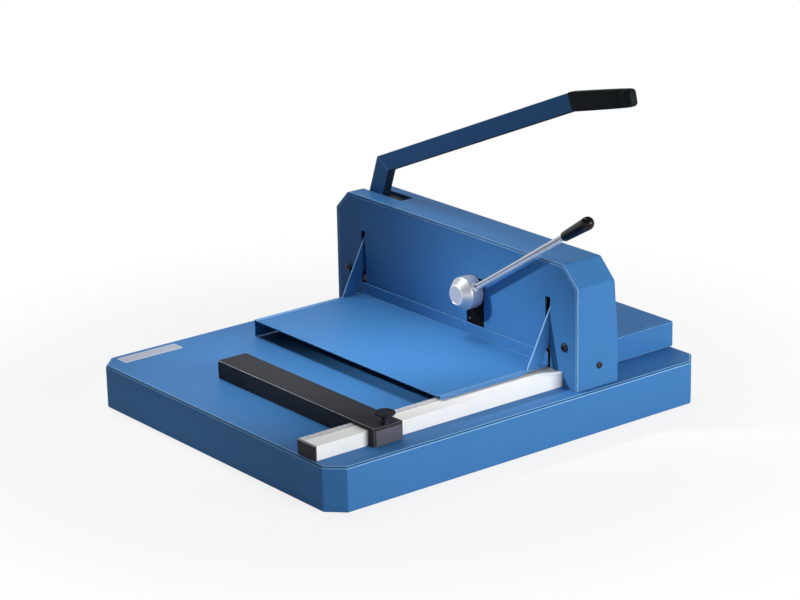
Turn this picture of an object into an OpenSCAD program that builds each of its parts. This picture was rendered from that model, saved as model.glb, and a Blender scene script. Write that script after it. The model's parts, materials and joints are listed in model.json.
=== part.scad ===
// Stack paper cutter: a folded steel table, a bridge that houses the blade and the clamp,
// a side lay with a sliding backstop, a swing-up guard in front and a hinged hood behind.
// Origin: centre of the footprint, on the surface that the machine stands on.
// +X is the operator's right, +Y points away from the operator, +Z is up. Millimetres.
// Heights whose names end in _h are measured up from the table, unless they say otherwise.

/* [Base] */
// Width of the base from side to side
base_w = 596; // [585:1:640]
// Depth of the base from front to back
base_d = 698; // [690:1:740]
// Height of the folded base housing
housing_h = 68; // [60:1:80]
// Length cut off each plan corner of the base
base_corner = 25; // [12:1:32]
// Outside radius of the fold round the table top
fold_r = 4; // [3:0.5:6]
// Thickness of the painted sheet steel
sheet = 2; // [1.5:0.1:2.4]
// Width of the housing's lower flange, which is folded inwards and stands on the bench
flange_w = 18; // [10:1:30]
// Thickness of the closing plate under the base
bottom_t = 1.5; // [1:0.1:3]
// Clearance between pieces that are assembled without a fit
gap = 0.2; // [0.1:0.05:0.4]

/* [Bridge] */
// Width of the bridge across its side covers
bridge_w = 576; // [572:1:580]
// Distance of the bridge's front face behind the origin
bridge_y = 106; // [100:1:112]
// Height of the bridge above the table
bridge_h = 188; // [186:0.5:194]
// Depth of the bridge at its foot
bridge_d = 78.5; // [76:0.5:90]
// How far the back of the bridge leans in towards the top
bridge_lean = 6.5; // [2:0.5:8]
// Height at which the back of the bridge starts to lean
lean_h = 67; // [66:1:90]
// Length cut off the two top corners of the bridge
bridge_corner = 31; // [26:1:34]
// Bend radius of the bridge cover
bend_r = 7; // [3:0.5:10]
// Gap between the cover's edge and the front plate
seam = 1.5; // [1.5:0.5:3]
// Thickness of the bridge's front plate
plate_t = 3; // [2.5:0.5:3]
// How far the cover's front edge stands proud of the front plate
cover_proud = 0.8; // [0.2:0.2:1.6]
// Height of the opening that the paper passes through
throat_h = 44; // [40:1:45]
// Thickness of the cast side uprights, front to back
upright_d = 26.5; // [26:0.5:27]
// Width of a side upright
upright_w = 53.5; // [50:0.5:53.5]
// Height of a side upright
upright_h = 150; // [140:1:154]
// Height of the foot at the back of an upright
upright_foot_h = 50; // [44:1:56]
// Thickness of the rear frame plate
rear_plate_t = 8; // [6:0.5:10]
// Top of the rear frame plate
rear_plate_h = 164; // [150:1:168]
// Depth of the cast bed beam, front to back
bed_d = 56; // [52:1:70]

/* [Cut] */
// Cutting length, and the length of the blade
cut_length = 430; // [420:1:430]
// Height that the blade's edge rises above the table
blade_lift = 38; // [36:1:38]
// Height of the blade
blade_h = 66; // [60:1:66]
// Thickness of the blade
blade_t = 4; // [3:0.5:4]
// Width of the bevel ground on the blade's edge
bevel_h = 9; // [6:0.5:12]
// Angle of the blade's slanted slide off plumb
slide_angle = 10; // [6:1:11]
// Gap between the closed blade and the cutting stick
edge_gap = 0.2; // [0.1:0.1:0.4]
// Width of the cutting stick
stick_w = 11.6; // [10:0.2:12]
// Depth of the cutting stick
stick_t = 10; // [6:0.5:12]
// Height of the blade carrier
carrier_h = 82; // [80:1:86]
// Thickness of the blade carrier
carrier_t = 9.5; // [9:0.1:9.5]
// Radius of the rollers that guide the carrier
guide_roller_r = 9; // [7:0.5:10]
// Number of screws that hold the blade
blade_screws_n = 5; // [3:1:7]

/* [Blade lever] */
// Lever pivot, left of the origin
pivot_x = 248.7; // [246:0.5:250]
// Height of the lever pivot
pivot_h = 120; // [118:0.5:122]
// Thickness of the lever
lever_t = 15; // [12:0.5:15]
// Depth of the lever's long bar
bar_w = 28; // [24:0.5:30]
// Width of the lever's riser
riser_w = 34; // [30:0.5:35]
// Clear distance from the pivot to the underside of the bar
bar_offset = 79; // [79:0.5:84]
// Distance along the bar from the pivot to the start of the grip
bar_reach = 565; // [500:1:600]
// Length of the grip
grip_l = 129; // [100:1:150]
// Upward tilt of the bar at rest
bar_tilt = 22.4; // [22:0.1:24]
// Upward tilt of the riser at rest
riser_tilt = 70; // [66:0.5:72]
// Downward bend of the grip from the bar
grip_bend = 9; // [0:0.5:20]
// Swing of the lever above the rest position
swing_up = 28; // [20:1:28]
// Swing of the lever below the rest position
swing_down = 22; // [18:1:22]
// Radius of the crank plate at the foot of the lever
crank_r = 100; // [90:1:102]
// Radius of the lever's pivot shaft
shaft_r = 12; // [9:0.5:13]
// Running clearance of a shaft in its bore, on the radius
running = 0.05; // [0.02:0.01:0.08]
// Radius of the roller that drives the carrier
drive_roller_r = 9; // [7:0.5:10]
// Play of the drive roller in the carrier's fork, each side
fork_play = 0.5; // [0.4:0.1:1]
// Width of the lever slot in the top of the bridge
slot_w = 25; // [24:0.5:27]
// Right-hand end of the lever slot, left of the origin
slot_end_x = 160; // [150:1:162]

/* [Clamp] */
// Sideways position of the clamp hub
hub_x = 55; // [40:1:70]
// Height of the clamp hub at rest
hub_h = 100; // [96:0.5:100]
// Radius of the clamp hub
hub_r = 25.5; // [22:0.5:27]
// Length of the clamp hub
hub_l = 33.5; // [26:0.5:34]
// Radius of the flat front face of the hub
hub_face_r = 15; // [10:0.5:20]
// Length of the hub's front bevel
hub_bevel = 11.5; // [5:0.5:12]
// Radius of the clamp rod
rod_r = 5; // [4:0.5:5]
// Distance from the hub axis to the foot of the ball grip
rod_reach = 259; // [200:1:280]
// Length of the tapered clamp knob
knob_l = 68; // [50:1:80]
// Radius of the knob at its foot
knob_foot_r = 7.6; // [6:0.2:9]
// Radius of the knob at its round end
knob_end_r = 10; // [8:0.2:12]
// Tilt of the clamp rod at rest
rod_tilt = 32.1; // [30:0.1:40]
// Swing of the clamp lever
clamp_swing = 130; // [100:1:135]
// Travel of the clamp
clamp_travel = 35.5; // [30:0.5:35.5]
// Height of the clamp's pressing face at rest
clamp_rest_h = 36; // [36:0.5:37]
// Height of the clamp beam
clamp_beam_h = 22; // [18:0.5:22]
// Thickness of the clamp beam
clamp_beam_t = 9; // [7:0.5:9]
// Diameter of the bearing block's boss, which slides in the clamp slot
boss_d = 40; // [34:0.5:40]
// Play of the boss in the clamp slot, each side
slot_play = 1; // [0.5:0.1:2]
// Width of the clamp's bearing block behind the front plate
block_w = 56; // [50:1:64]
// Radius of the clamp shaft
clamp_shaft_r = 8; // [6:0.5:10]
// Smallest radius of the spiral cam
cam_r0 = 20; // [18:0.5:22]
// Radius of the fixed roller that the cam presses on
cam_roller_r = 8; // [6:0.5:9]
// Gap between the cam and its roller
cam_gap = 0.3; // [0.1:0.1:0.5]

/* [Guard] */
// Width of the guard panel
guard_w = 457; // [455:1:462]
// Front edge of the guard panel, in front of the origin
guard_front = 103.5; // [60:0.5:110]
// Height of the guard panel's upper face
guard_h = 28; // [26.5:0.5:30]
// Height of the upstand at the back of the guard panel
upstand = 18; // [14:0.5:18]
// Gap between the guard and the bridge
guard_gap = 0.8; // [0.6:0.1:2]
// Width of the guard's two side arms
arm_w = 22.3; // [18:0.1:23]
// Sideways position of the guard arms' inner faces
arm_x = 222.8; // [222.5:0.1:223]
// Thickness of the guard arms
arm_t = 2.5; // [2:0.1:2.5]
// Distance of the guard pivot behind the bridge's front face
guard_pivot_in = 14; // [12:0.5:15]
// Height of the guard pivot
guard_pivot_h = 113; // [110:0.5:115]
// Width of the two guard slots in the front plate
guard_slot_w = 11; // [9:0.5:11]
// Top of the guard slots
guard_slot_h = 131; // [128:1:134]

/* [Side lay and backstop] */
// Sideways position of the side lay's inner face
rail_x = 212.4; // [212.4:0.2:214]
// Width of the side lay
rail_w = 40.8; // [36:0.2:44]
// Height of the side lay
rail_h = 21.8; // [18:0.2:22]
// Wall of the side lay's hollow section
rail_wall = 3; // [2:0.5:4]
// Distance of the side lay's front end from the base's front edge
rail_back = 7; // [4:0.5:20]
// Length of the backstop bar
stop_l = 378; // [300:1:400]
// Depth of the backstop bar
stop_d = 51; // [40:1:60]
// Height of the backstop bar above the table
stop_h = 28; // [27:0.5:32]
// Distance from the origin to the backstop's front face
stop_front = 253; // [230:1:260]
// Clearance under the backstop bar and beside the side lay
stop_gap = 0.6; // [0.3:0.1:1]
// Radius of the thumb knob
thumb_r = 15; // [12:0.5:18]
// Height of the thumb knob's neck above the bar
thumb_neck = 15; // [10:0.5:20]

/* [Hood] */
// Width of the rear hood
hood_w = 464; // [440:1:464]
// Height of the rear hood above the table
hood_h = 42; // [40:0.5:44]
// Radius of the folds of the hood
hood_fold = 3; // [2:0.5:4]
// Radius of the hood's hinge knuckles
knuckle_r = 4; // [3:0.5:5]
// Distance of the hood's hinges from the middle
hood_hinge_x = 150; // [100:5:200]

/* [Hidden] */
$fn = 48;

// Colours
paint = [0.18, 0.42, 0.62];
steel = [0.62, 0.63, 0.65];
bright = [0.82, 0.83, 0.85];
black = [0.06, 0.06, 0.07];
white = [0.9, 0.9, 0.91];
iron = [0.35, 0.36, 0.38];
bronze = [0.7, 0.52, 0.26];
nylon = [0.85, 0.83, 0.76];
stick_red = [0.75, 0.2, 0.15];

// Table and bridge
table_z = housing_h;
inside_z = sheet + bottom_t;
over = 1;
plate_y = bridge_y + plate_t;
bridge_back = bridge_y + bridge_d;
bridge_top_back = bridge_back - bridge_lean;
side_x = bridge_w / 2;
upright_out = side_x - sheet - gap;
upright_in = upright_out - upright_w;
upright_back = plate_y + upright_d;

bolt_head_z = inside_z + 22;
front_bolt_in = 14;
frame_bolt_in = 12;
rail_screw_in = 12;
hole_spare = 2;

// Layers inside the bridge, front to back
beam_y = plate_y + 1.5;
beam_back = beam_y + clamp_beam_t;
blade_y = beam_back + 1;
blade_back = blade_y + blade_t;
carrier_back = blade_back + carrier_t;
lever_y = carrier_back + 2.5;
lever_back = lever_y + lever_t;
rear_plate_y = bridge_y + 47;
rear_plate_back = rear_plate_y + rear_plate_t;

// Blade travel: the lever turns the crank pin equally above and below its middle position
swing = swing_up + swing_down;
pin_r = blade_lift / (2 * sin(swing / 2));
pin_a = swing / 2 - swing_up;
lift_down = blade_lift * swing_down / swing;
lift_up = blade_lift * swing_up / swing;
edge_h = edge_gap + lift_down;
blade_left = rail_x - cut_length + lift_down * tan(slide_angle) + 0.6;
carrier_bottom_h = edge_h + 38;
carrier_top_h = carrier_bottom_h + carrier_h;
carrier_left = -214;
carrier_right = 205;
guide_pin_xs = [-100, 160];
guide_pin_h = edge_h + 88;
guide_pin_r = 6;

// Lever geometry in its own frame: u runs along the bar from the pivot, v square to it
bend_a = riser_tilt - bar_tilt;
riser_left_u = -riser_w / 2 / sin(bend_a) + (bar_offset + bar_w) / tan(bend_a);
riser_right_u = riser_w / 2 / sin(bend_a) + bar_offset / tan(bend_a);
hub_disc_r = 30;
grip_skin = 1;
slot_y = lever_y - 1.3;

// Clamp
block_top_h = hub_h + boss_d / 2 + 0.5;
block_low_h = clamp_rest_h + 8;
boss_y = bridge_y - 0.5;
beam_end_x = 205;
ear_x = 238;
ear_h = 22;
collar_r = 15;
hub_back = bridge_y - guard_gap - sheet - 1;
block_back = beam_y + 2;
rod_y = hub_back - 10;
cam_rate = clamp_travel / clamp_swing;
cam_y = beam_y + 2.5;
cam_t = 6;
cam_roller_h = hub_h + cam_r0 + cam_roller_r;
spring_post_h = 142;

// Guard arm
guard_pivot_y = bridge_y + guard_pivot_in;
arm_a = 62.6;
guard_top_h = guard_h + upstand;
upstand_back = bridge_y - guard_gap;

// Side lay and backstop
rail_front = -base_d / 2 + rail_back;
rail_end = bridge_y + 1.4;
rail_out = rail_x + rail_w;
scale_t = 0.3;
scale_w = 12;
cap_t = 3;
stop_left = rail_out + 13 - stop_l;
stop_right = rail_out + 13;
stop_y = -stop_front;
thumb_x = rail_out + 6.5;
thumb_y = stop_y + stop_d / 2;

// Hood
hood_front = bridge_back + 3;
hood_back = base_d / 2 - 0.5;
hood_axis_y = bridge_back + knuckle_r + 0.6;
hood_axis_h = hood_h + knuckle_r + 0.4;
hood_lift = 1.5;
leaf_t = 1.6;
leaf_l = 60;

function unit(v) = v / norm(v);
function turn(p, a) = [p.x * cos(a) - p.y * sin(a), p.x * sin(a) + p.y * cos(a)];
// Plan of a rectangle w by d with its four corners cut off by c
function cut_rect(w, d, c) = [
    [w / 2 - c, -d / 2], [w / 2, -d / 2 + c], [w / 2, d / 2 - c], [w / 2 - c, d / 2],
    [-w / 2 + c, d / 2], [-w / 2, d / 2 - c], [-w / 2, -d / 2 + c], [-w / 2 + c, -d / 2]];
// Arc that rounds the corner b between a and c
function corner_arc(a, b, c, r, n) =
    let (u = unit(a - b), w = unit(c - b), half = acos(u * w) / 2,
        m = b + unit(u + w) * r / sin(half), s = b + u * r / tan(half) - m,
        e = b + w * r / tan(half) - m, a0 = atan2(s.y, s.x),
        turned = (atan2(e.y, e.x) - a0 + 540) % 360 - 180)
    [for (i = [0:n]) m + r * [cos(a0 + turned * i / n), sin(a0 + turned * i / n)]];
// Front view of the bridge, set in from the outside of the cover by t
function bridge_outline(t) =
    let (x = side_x - t, h = bridge_h - t, c = bridge_corner - t * (2 - sqrt(2)),
        r = max(bend_r - t, 1),
        p = [[x, 0], [x, h - c], [x - c, h], [-x + c, h], [-x, h - c], [-x, 0]])
    concat([p[0]], corner_arc(p[0], p[1], p[2], r, 5), corner_arc(p[1], p[2], p[3], r, 5),
        corner_arc(p[2], p[3], p[4], r, 5), corner_arc(p[3], p[4], p[5], r, 5), [p[5]]);
// Side view of the bridge from y0 to its leaning back, set in by t
function bridge_side(y0, t) = [[y0, -over], [bridge_back - t, -over], [bridge_back - t, lean_h],
    [bridge_top_back - t, bridge_h - bridge_corner], [bridge_top_back - t, bridge_h + over],
    [y0, bridge_h + over]];

// Stands its child on the table
module on_table() {
    translate([0, 0, table_z]) children();
}

// Extrudes a front view (x, z) from y0 back to y1
module along_y(y0, y1) {
    translate([0, y1, 0]) rotate([90, 0, 0]) linear_extrude(y1 - y0) children();
}

// Extrudes a side view (y, z) from x0 to x1
module along_x(x0, x1) {
    translate([x0, 0, 0]) rotate([90, 0, 90]) linear_extrude(x1 - x0) children();
}

module rod_along_y(x, h, y0, y1, r) {
    translate([x, y1, h]) rotate([90, 0, 0]) cylinder(r = r, h = y1 - y0);
}

module rod_along_x(y, h, x0, x1, r) {
    translate([x0, y, h]) rotate([0, 90, 0]) cylinder(r = r, h = x1 - x0);
}

module box(x0, x1, y0, y1, z0, z1) {
    translate([x0, y0, z0]) cube([x1 - x0, y1 - y0, z1 - z0]);
}

// Section cut away by a fold of radius r: three flats that touch its round
function fold_section(r) =
    let (m = r / cos(15), low = (r + (over + r) * cos(165)) / sin(165) - r)
    [[-over, low], [r + m * cos(150), m * sin(150) - r], [r + m * cos(120), m * sin(120) - r],
        [-low, over], [-over, over]];

// Cuts the round of a fold along the upper edge of every side of a convex plan
module fold_cutters(plan, top, r) {
    n = len(plan);
    for (i = [0:n - 1]) {
        p = plan[i];
        d = plan[(i + 1) % n] - p;
        translate([p.x, p.y, top]) rotate([0, 0, atan2(d.y, d.x)])
            along_x(-r, norm(d) + r) polygon(fold_section(r));
    }
}

// Button head screw on the Y axis: the head stands in front of y, the shank runs back
module button_screw_y(x, h, y, head_r, head_l, shank_r, shank_l) {
    difference() {
        union() {
            rod_along_y(x, h, y - head_l, y, head_r);
            rod_along_y(x, h, y - over / 2, y + shank_l, shank_r);
        }
        translate([x, y - head_l / 2, h]) rotate([90, 0, 0])
            cylinder(r = shank_r * 0.75, h = head_l, $fn = 6);
    }
}

// Plan of the base, set in by t
function base_plan(t) =
    cut_rect(base_w - 2 * t, base_d - 2 * t, base_corner - t * (2 - sqrt(2)));

module base_housing() {
    plan = base_plan(0);
    color(paint) difference() {
        linear_extrude(housing_h) polygon(plan);
        fold_cutters(plan, housing_h, fold_r);
        translate([0, 0, sheet]) linear_extrude(housing_h - 2 * sheet) polygon(base_plan(sheet));
        translate([0, 0, -over]) linear_extrude(housing_h / 2) polygon(base_plan(flange_w));
        stick_pocket(housing_h - sheet - over, housing_h + over);
        for (s = upright_bolt_places()) translate([s.x, s.y, housing_h - sheet - over])
            cylinder(r = 4.5, h = sheet + 2 * over);
        for (y = rail_screw_ys()) translate([rail_x + rail_w / 2, y, housing_h - sheet - over])
            cylinder(r = 2.7, h = sheet + 2 * over);
    }
}

module stick_pocket(z0, z1) {
    box(-cut_length / 2 - 14, cut_length / 2 + 14, stick_y() - stick_w / 2 - gap,
        stick_y() + stick_w / 2 + gap, z0, z1);
}

function stick_y() = blade_y + 1.5;
function upright_bolt_places() = [for (side = [-1, 1], y = [plate_y + 9, plate_y + 32])
    [side * (upright_out - 26), y]];
function rail_screw_ys() = [rail_front + 40, rail_front + 180, rail_front + 320];

// Closing plate, which lies on the flange inside the housing
module bottom_plate() {
    color(iron) translate([0, 0, sheet]) linear_extrude(bottom_t) polygon(base_plan(sheet + gap));
}

module bed_beam() {
    y0 = stick_y() - bed_d / 2 + 8;
    z0 = inside_z;
    z1 = table_z - sheet;
    wall = 12;
    color(iron) difference() {
        box(-upright_out + 14, upright_out - 14, y0, y0 + bed_d, z0, z1);
        stick_pocket(table_z - stick_t - gap, table_z + over);
        box(-upright_in + 8, upright_in - 8, y0 + wall, y0 + bed_d - wall, z0 - over, z1 - 22);
        for (s = upright_bolt_places()) translate([s.x, s.y, z0 - over]) {
            cylinder(r = 4.5, h = z1);
            cylinder(r = 8, h = bolt_head_z + 8 - z0 + over);
        }
    }
}

module cutting_stick() {
    color(stick_red) box(-cut_length / 2 - 13.5, cut_length / 2 + 13.5, stick_y() - stick_w / 2,
        stick_y() + stick_w / 2, table_z - stick_t, table_z);
}

module blank_label() {
    color(white) on_table() translate([-base_w / 2 + 12.5, -base_d / 2 + 28, 0]) cube([25, 105, 0.4]);
}

// Cast upright on the right; the left one mirrors it and adds the lever shaft's seat
module upright_body() {
    difference() {
        union() {
            box(upright_in, upright_out, plate_y, upright_back, 0, upright_h);
            box(upright_in + 8, upright_out, upright_back - over, rear_plate_y, 0, upright_foot_h);
        }
        box(upright_in - over, ear_x + 1, beam_y - gap, beam_back + gap, -over,
            clamp_rest_h + ear_h + 6);
        rod_along_x(guard_pivot_y, guard_pivot_h, upright_in - over, upright_in + 9, 4);
        rod_along_y(front_bolt_x(), front_bolt_h(), plate_y - over,
            plate_y + front_bolt_in + hole_spare, 3);
        rod_along_x(cover_bolt_y(), cover_bolt_h(), upright_out - 14, upright_out + over, 2.5);
        for (s = upright_bolt_places())
            if (s.x > 0) translate([s.x, s.y, -over]) cylinder(r = 4, h = 22);
        for (b = frame_bolt_places())
            if (b.x > 0 && b.y > upright_foot_h)
                rod_along_y(b.x, b.y, upright_back - frame_bolt_in - hole_spare, upright_back + over, 4);
            else if (b.x > 0)
                rod_along_y(b.x, b.y, rear_plate_y - frame_bolt_in - hole_spare, rear_plate_y + over, 4);
    }
}

function front_bolt_x() = 259;
function front_bolt_h() = 62;
function cover_bolt_y() = bridge_y + 41.5;
function cover_bolt_h() = 33;
// Bolts through the rear frame plate, as (x, height)
function frame_bolt_places() = [[-268, 14], [268, 14], [-268, 66], [268, 66], [262, 130]];

module upright_right() {
    color(iron) on_table() upright_body();
}

module upright_left() {
    color(iron) on_table() difference() {
        mirror([1, 0, 0]) upright_body();
        rod_along_y(-pivot_x, pivot_h, upright_back - 8, upright_back + over, shaft_r + running);
    }
}

module upright_bolts() {
    color(steel) for (s = upright_bolt_places())
        translate([s.x, s.y, bolt_head_z]) {
            cylinder(r = 4 - gap / 4, h = table_z + 18 - bolt_head_z);
            cylinder(r = 6.5, h = 8);
        }
}

module front_plate() {
    color(paint) on_table() difference() {
        along_y(bridge_y, plate_y)
            polygon([for (p = bridge_outline(sheet + seam)) [p.x, max(p.y, 0.6)]]);
        box(-throat_x(), throat_x(), bridge_y - over, plate_y + over, -over, throat_h);
        for (s = [-1, 1])
            box(s * guard_slot_x() - guard_slot_w / 2, s * guard_slot_x() + guard_slot_w / 2,
                bridge_y - over, plate_y + over, throat_h - over, guard_slot_h);
        box(hub_x - boss_d / 2 - slot_play, hub_x + boss_d / 2 + slot_play, bridge_y - over,
            plate_y + over, throat_h - over, hub_h + boss_d / 2 + slot_play);
        box(rail_x - 1, rail_out + 1, bridge_y - over, plate_y + over, -over, rail_h + 0.8);
        for (s = [-1, 1])
            rod_along_y(s * front_bolt_x(), front_bolt_h(), bridge_y - over, plate_y + over, 3.4);
        rod_along_y(hub_x, cam_roller_h, bridge_y + 1.4, plate_y + over, 3);
    }
}

function guard_slot_x() = arm_x - 1.3;
function throat_x() = guard_slot_x() + guard_slot_w / 2;

module front_plate_bolts() {
    color(black) on_table() for (s = [-1, 1])
        button_screw_y(s * front_bolt_x(), front_bolt_h(), bridge_y, 6.7, 4, 3,
            plate_t + front_bolt_in);
}

module rear_frame_plate() {
    x = upright_out - 2.5;
    c = 34;
    top = rear_plate_h;
    slot_top = lift_up;
    slot_bottom = lift_down;
    color(steel) on_table() difference() {
        along_y(rear_plate_y, rear_plate_back)
            polygon([[x, 0], [x, top - c], [x - c, top], [c - x, top], [-x, top - c], [-x, 0]]);
        box(-upright_in, upright_in, rear_plate_y - over, rear_plate_back + over, -over,
            throat_h + 8);
        for (px = guide_pin_xs)
            along_y(rear_plate_y - over, rear_plate_back + over)
                translate([px, guide_pin_h]) rotate(-slide_angle) {
                    r = guide_roller_r + running + 0.1;
                    up = slot_top / cos(slide_angle);
                    down = slot_bottom / cos(slide_angle);
                    translate([0, up]) circle(r);
                    translate([0, -down]) circle(r);
                    translate([-r, -down]) square([2 * r, up + down]);
                }
        rod_along_y(-pivot_x, pivot_h, rear_plate_y - over, rear_plate_back + over,
            shaft_r + running);
        for (b = frame_bolt_places())
            rod_along_y(b.x, b.y, rear_plate_y - over, rear_plate_back + over, 4.5);
    }
}

module frame_spacers() {
    color(steel) on_table() for (b = frame_bolt_places())
        if (b.y > upright_foot_h) difference() {
            rod_along_y(b.x, b.y, upright_back, rear_plate_y, 8);
            rod_along_y(b.x, b.y, upright_back - over, rear_plate_y + over, 4.3);
        }
}

module frame_bolts() {
    color(black) on_table() for (b = frame_bolt_places()) {
        rod_along_y(b.x, b.y, rear_plate_back, rear_plate_back + 5, 6.5);
        rod_along_y(b.x, b.y, (b.y > upright_foot_h ? upright_back : rear_plate_y) - frame_bolt_in,
            rear_plate_back + over, 4 - gap / 4);
    }
}

module bridge_cover() {
    y0 = bridge_y - cover_proud;
    color(paint) on_table() difference() {
        intersection() {
            along_y(y0, bridge_back) polygon(bridge_outline(0));
            along_x(-side_x, side_x) polygon(bridge_side(y0, 0));
        }
        intersection() {
            along_y(y0 - over, bridge_back)
                polygon(concat([[side_x - sheet, -over]], bridge_outline(sheet),
                    [[-side_x + sheet, -over]]));
            along_x(-side_x, side_x) polygon(bridge_side(y0 - over, sheet));
        }
        box(-side_x, side_x, y0, bridge_back + over, -over, 0.6);
        box(-side_x - over, -slot_end_x, slot_y, slot_y + slot_w, bridge_h - bridge_corner - 8,
            bridge_h + over);
        box(-throat_x(), throat_x(), bridge_top_back - 6, bridge_back + over, -over, throat_h - 8);
        for (s = [-1, 1])
            rod_along_x(cover_bolt_y(), cover_bolt_h(), s * side_x - 4, s * side_x + 4, 2.8);
    }
}

module cover_bolts() {
    color(black) on_table() for (s = [-1, 1])
        mirror([s > 0 ? 0 : 1, 0, 0]) difference() {
            union() {
                rod_along_x(cover_bolt_y(), cover_bolt_h(), side_x, side_x + 3, 5.2);
                rod_along_x(cover_bolt_y(), cover_bolt_h(), side_x - 14, side_x + over, 2.5 - gap / 4);
            }
            translate([side_x + 1.2, cover_bolt_y(), cover_bolt_h()]) rotate([0, 90, 0])
                cylinder(r = 2, h = 4, $fn = 6);
        }
}

module lever_shaft() {
    color(steel) on_table()
        rod_along_y(-pivot_x, pivot_h, upright_back - 7.5, rear_plate_back + 5, shaft_r);
}

module lever_shaft_rings() {
    color(steel) on_table() difference() {
        rod_along_y(-pivot_x, pivot_h, rear_plate_back, rear_plate_back + 3, shaft_r + 5);
        rod_along_y(-pivot_x, pivot_h, rear_plate_back - over, rear_plate_back + 3 + over, shaft_r);
    }
}

module side_lay() {
    color(white) on_table() difference() {
        box(rail_x, rail_out, rail_front, rail_end, 0, rail_h);
        box(rail_x + rail_wall, rail_out - rail_wall, rail_front - over, rail_end + over,
            rail_wall, rail_h - rail_wall);
        for (y = rail_screw_ys()) translate([rail_x + rail_w / 2, y, -over])
            cylinder(r = 2.7, h = rail_wall + 2 * over);
    }
}

module side_lay_scale() {
    color(bright) on_table() box(rail_x + 1.2, rail_x + 1.2 + scale_w, rail_front + 1,
        bridge_y - 2, rail_h, rail_h + scale_t);
}

module side_lay_end_cap() {
    color(black) on_table() {
        box(rail_x, rail_out, rail_front - cap_t, rail_front, 0, rail_h);
        box(rail_x + rail_wall + gap, rail_out - rail_wall - gap, rail_front - gap,
            rail_front + 12, rail_wall + gap, rail_h - rail_wall - gap);
    }
}

module side_lay_screws() {
    color(steel) for (y = rail_screw_ys())
        translate([rail_x + rail_w / 2, y, table_z - rail_screw_in]) {
            cylinder(r = 2.5, h = rail_screw_in + rail_wall + 0.5);
            translate([0, 0, rail_screw_in + rail_wall]) cylinder(r = 4.5, h = 2.8);
        }
}

// Places its child, drawn in the lever's own frame, at the lever's rest angle
module lever_frame() {
    translate([-pivot_x, pivot_h]) rotate(bar_tilt) children();
}

module riser_shape() {
    dir = [cos(bend_a), sin(bend_a)];
    side = [-sin(bend_a), cos(bend_a)] * riser_w / 2;
    polygon([side, -side, [riser_right_u, bar_offset], [riser_left_u, bar_offset + bar_w]]);
}

module blade_lever_arm() {
    top = bar_offset + bar_w;
    color(paint) on_table() difference() {
        along_y(lever_y, lever_back) lever_frame() difference() {
            union() {
                riser_shape();
                polygon([[riser_right_u, bar_offset], [bar_reach, bar_offset],
                    [bar_reach - 2, top], [riser_left_u, top]]);
            }
            circle(hub_disc_r);
        }
        translate([-pivot_x, 0, pivot_h]) rotate([0, -bar_tilt, 0])
            box(riser_right_u + 30, bar_reach + over, lever_y + 2.5, lever_back - 2.5,
                bar_offset + 2.5, top - 2.5);
    }
}

module lever_grip() {
    top = bar_offset + bar_w;
    start = [bar_reach + gap, bar_offset];
    a = -grip_bend;
    low_end = start + turn([grip_l, 1], a);
    high_end = start + turn([grip_l - 3, bar_w - 3.5], a);
    color(black) on_table() {
        along_y(lever_y - grip_skin, lever_back + grip_skin) lever_frame()
            polygon(concat([[bar_reach + gap, bar_offset - 0.5]],
                corner_arc(start, low_end, high_end, 4, 5),
                corner_arc(low_end, high_end, [bar_reach, top + 0.5], 4, 5),
                [[bar_reach + gap - 2, top + 0.5]]));
        translate([-pivot_x, 0, pivot_h]) rotate([0, -bar_tilt, 0])
            box(bar_reach - 45, bar_reach + over, lever_y + 2.8, lever_back - 2.8,
                bar_offset + 2.8, top - 2.8);
    }
}

// Crank plate: hub disc and a sector that carries the drive pin, to the right of the riser
module lever_crank() {
    top = bridge_h - sheet - 0.5 - pivot_h;
    low_a = -28;
    color(steel) on_table() difference() {
        along_y(lever_y, lever_back) translate([-pivot_x, pivot_h]) difference() {
            union() {
                circle(hub_disc_r);
                intersection() {
                    circle(crank_r, $fn = 96);
                    polygon([[0, 0], 2 * crank_r * [cos(low_a), sin(low_a)],
                        [2 * crank_r, top], [0, top]]);
                }
            }
            rotate(bar_tilt) difference() {
                riser_shape();
                circle(hub_disc_r);
            }
            rotate(bar_tilt) rotate(bend_a) translate([0, riser_w / 2 - 0.1])
                square([crank_r, 2 * crank_r]);
            circle(shaft_r + 3);
        }
        rod_along_y(-pivot_x + pin_r * cos(pin_a), pivot_h + pin_r * sin(pin_a),
            lever_y - over, lever_y + 12, 6);
    }
}

module lever_bush() {
    color(bronze) on_table() difference() {
        rod_along_y(-pivot_x, pivot_h, lever_y - 0.5, lever_back + 0.5, shaft_r + 3);
        rod_along_y(-pivot_x, pivot_h, lever_y - over, lever_back + over, shaft_r + running);
    }
}

module drive_pin() {
    color(steel) on_table()
        rod_along_y(-pivot_x + pin_r * cos(pin_a), pivot_h + pin_r * sin(pin_a),
            blade_back + 0.4, lever_y + 12, 6);
}

module drive_roller() {
    color(bronze) on_table() difference() {
        rod_along_y(-pivot_x + pin_r * cos(pin_a), pivot_h + pin_r * sin(pin_a),
            blade_back + 0.4, carrier_back + 0.4, drive_roller_r);
        rod_along_y(-pivot_x + pin_r * cos(pin_a), pivot_h + pin_r * sin(pin_a),
            blade_back, carrier_back + over, 6 + running);
    }
}

function blade_screw_x(i) = blade_left + 25 + i * (cut_length - 50) / (blade_screws_n - 1);
function blade_screw_h() = edge_h + blade_h - 13;

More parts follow.
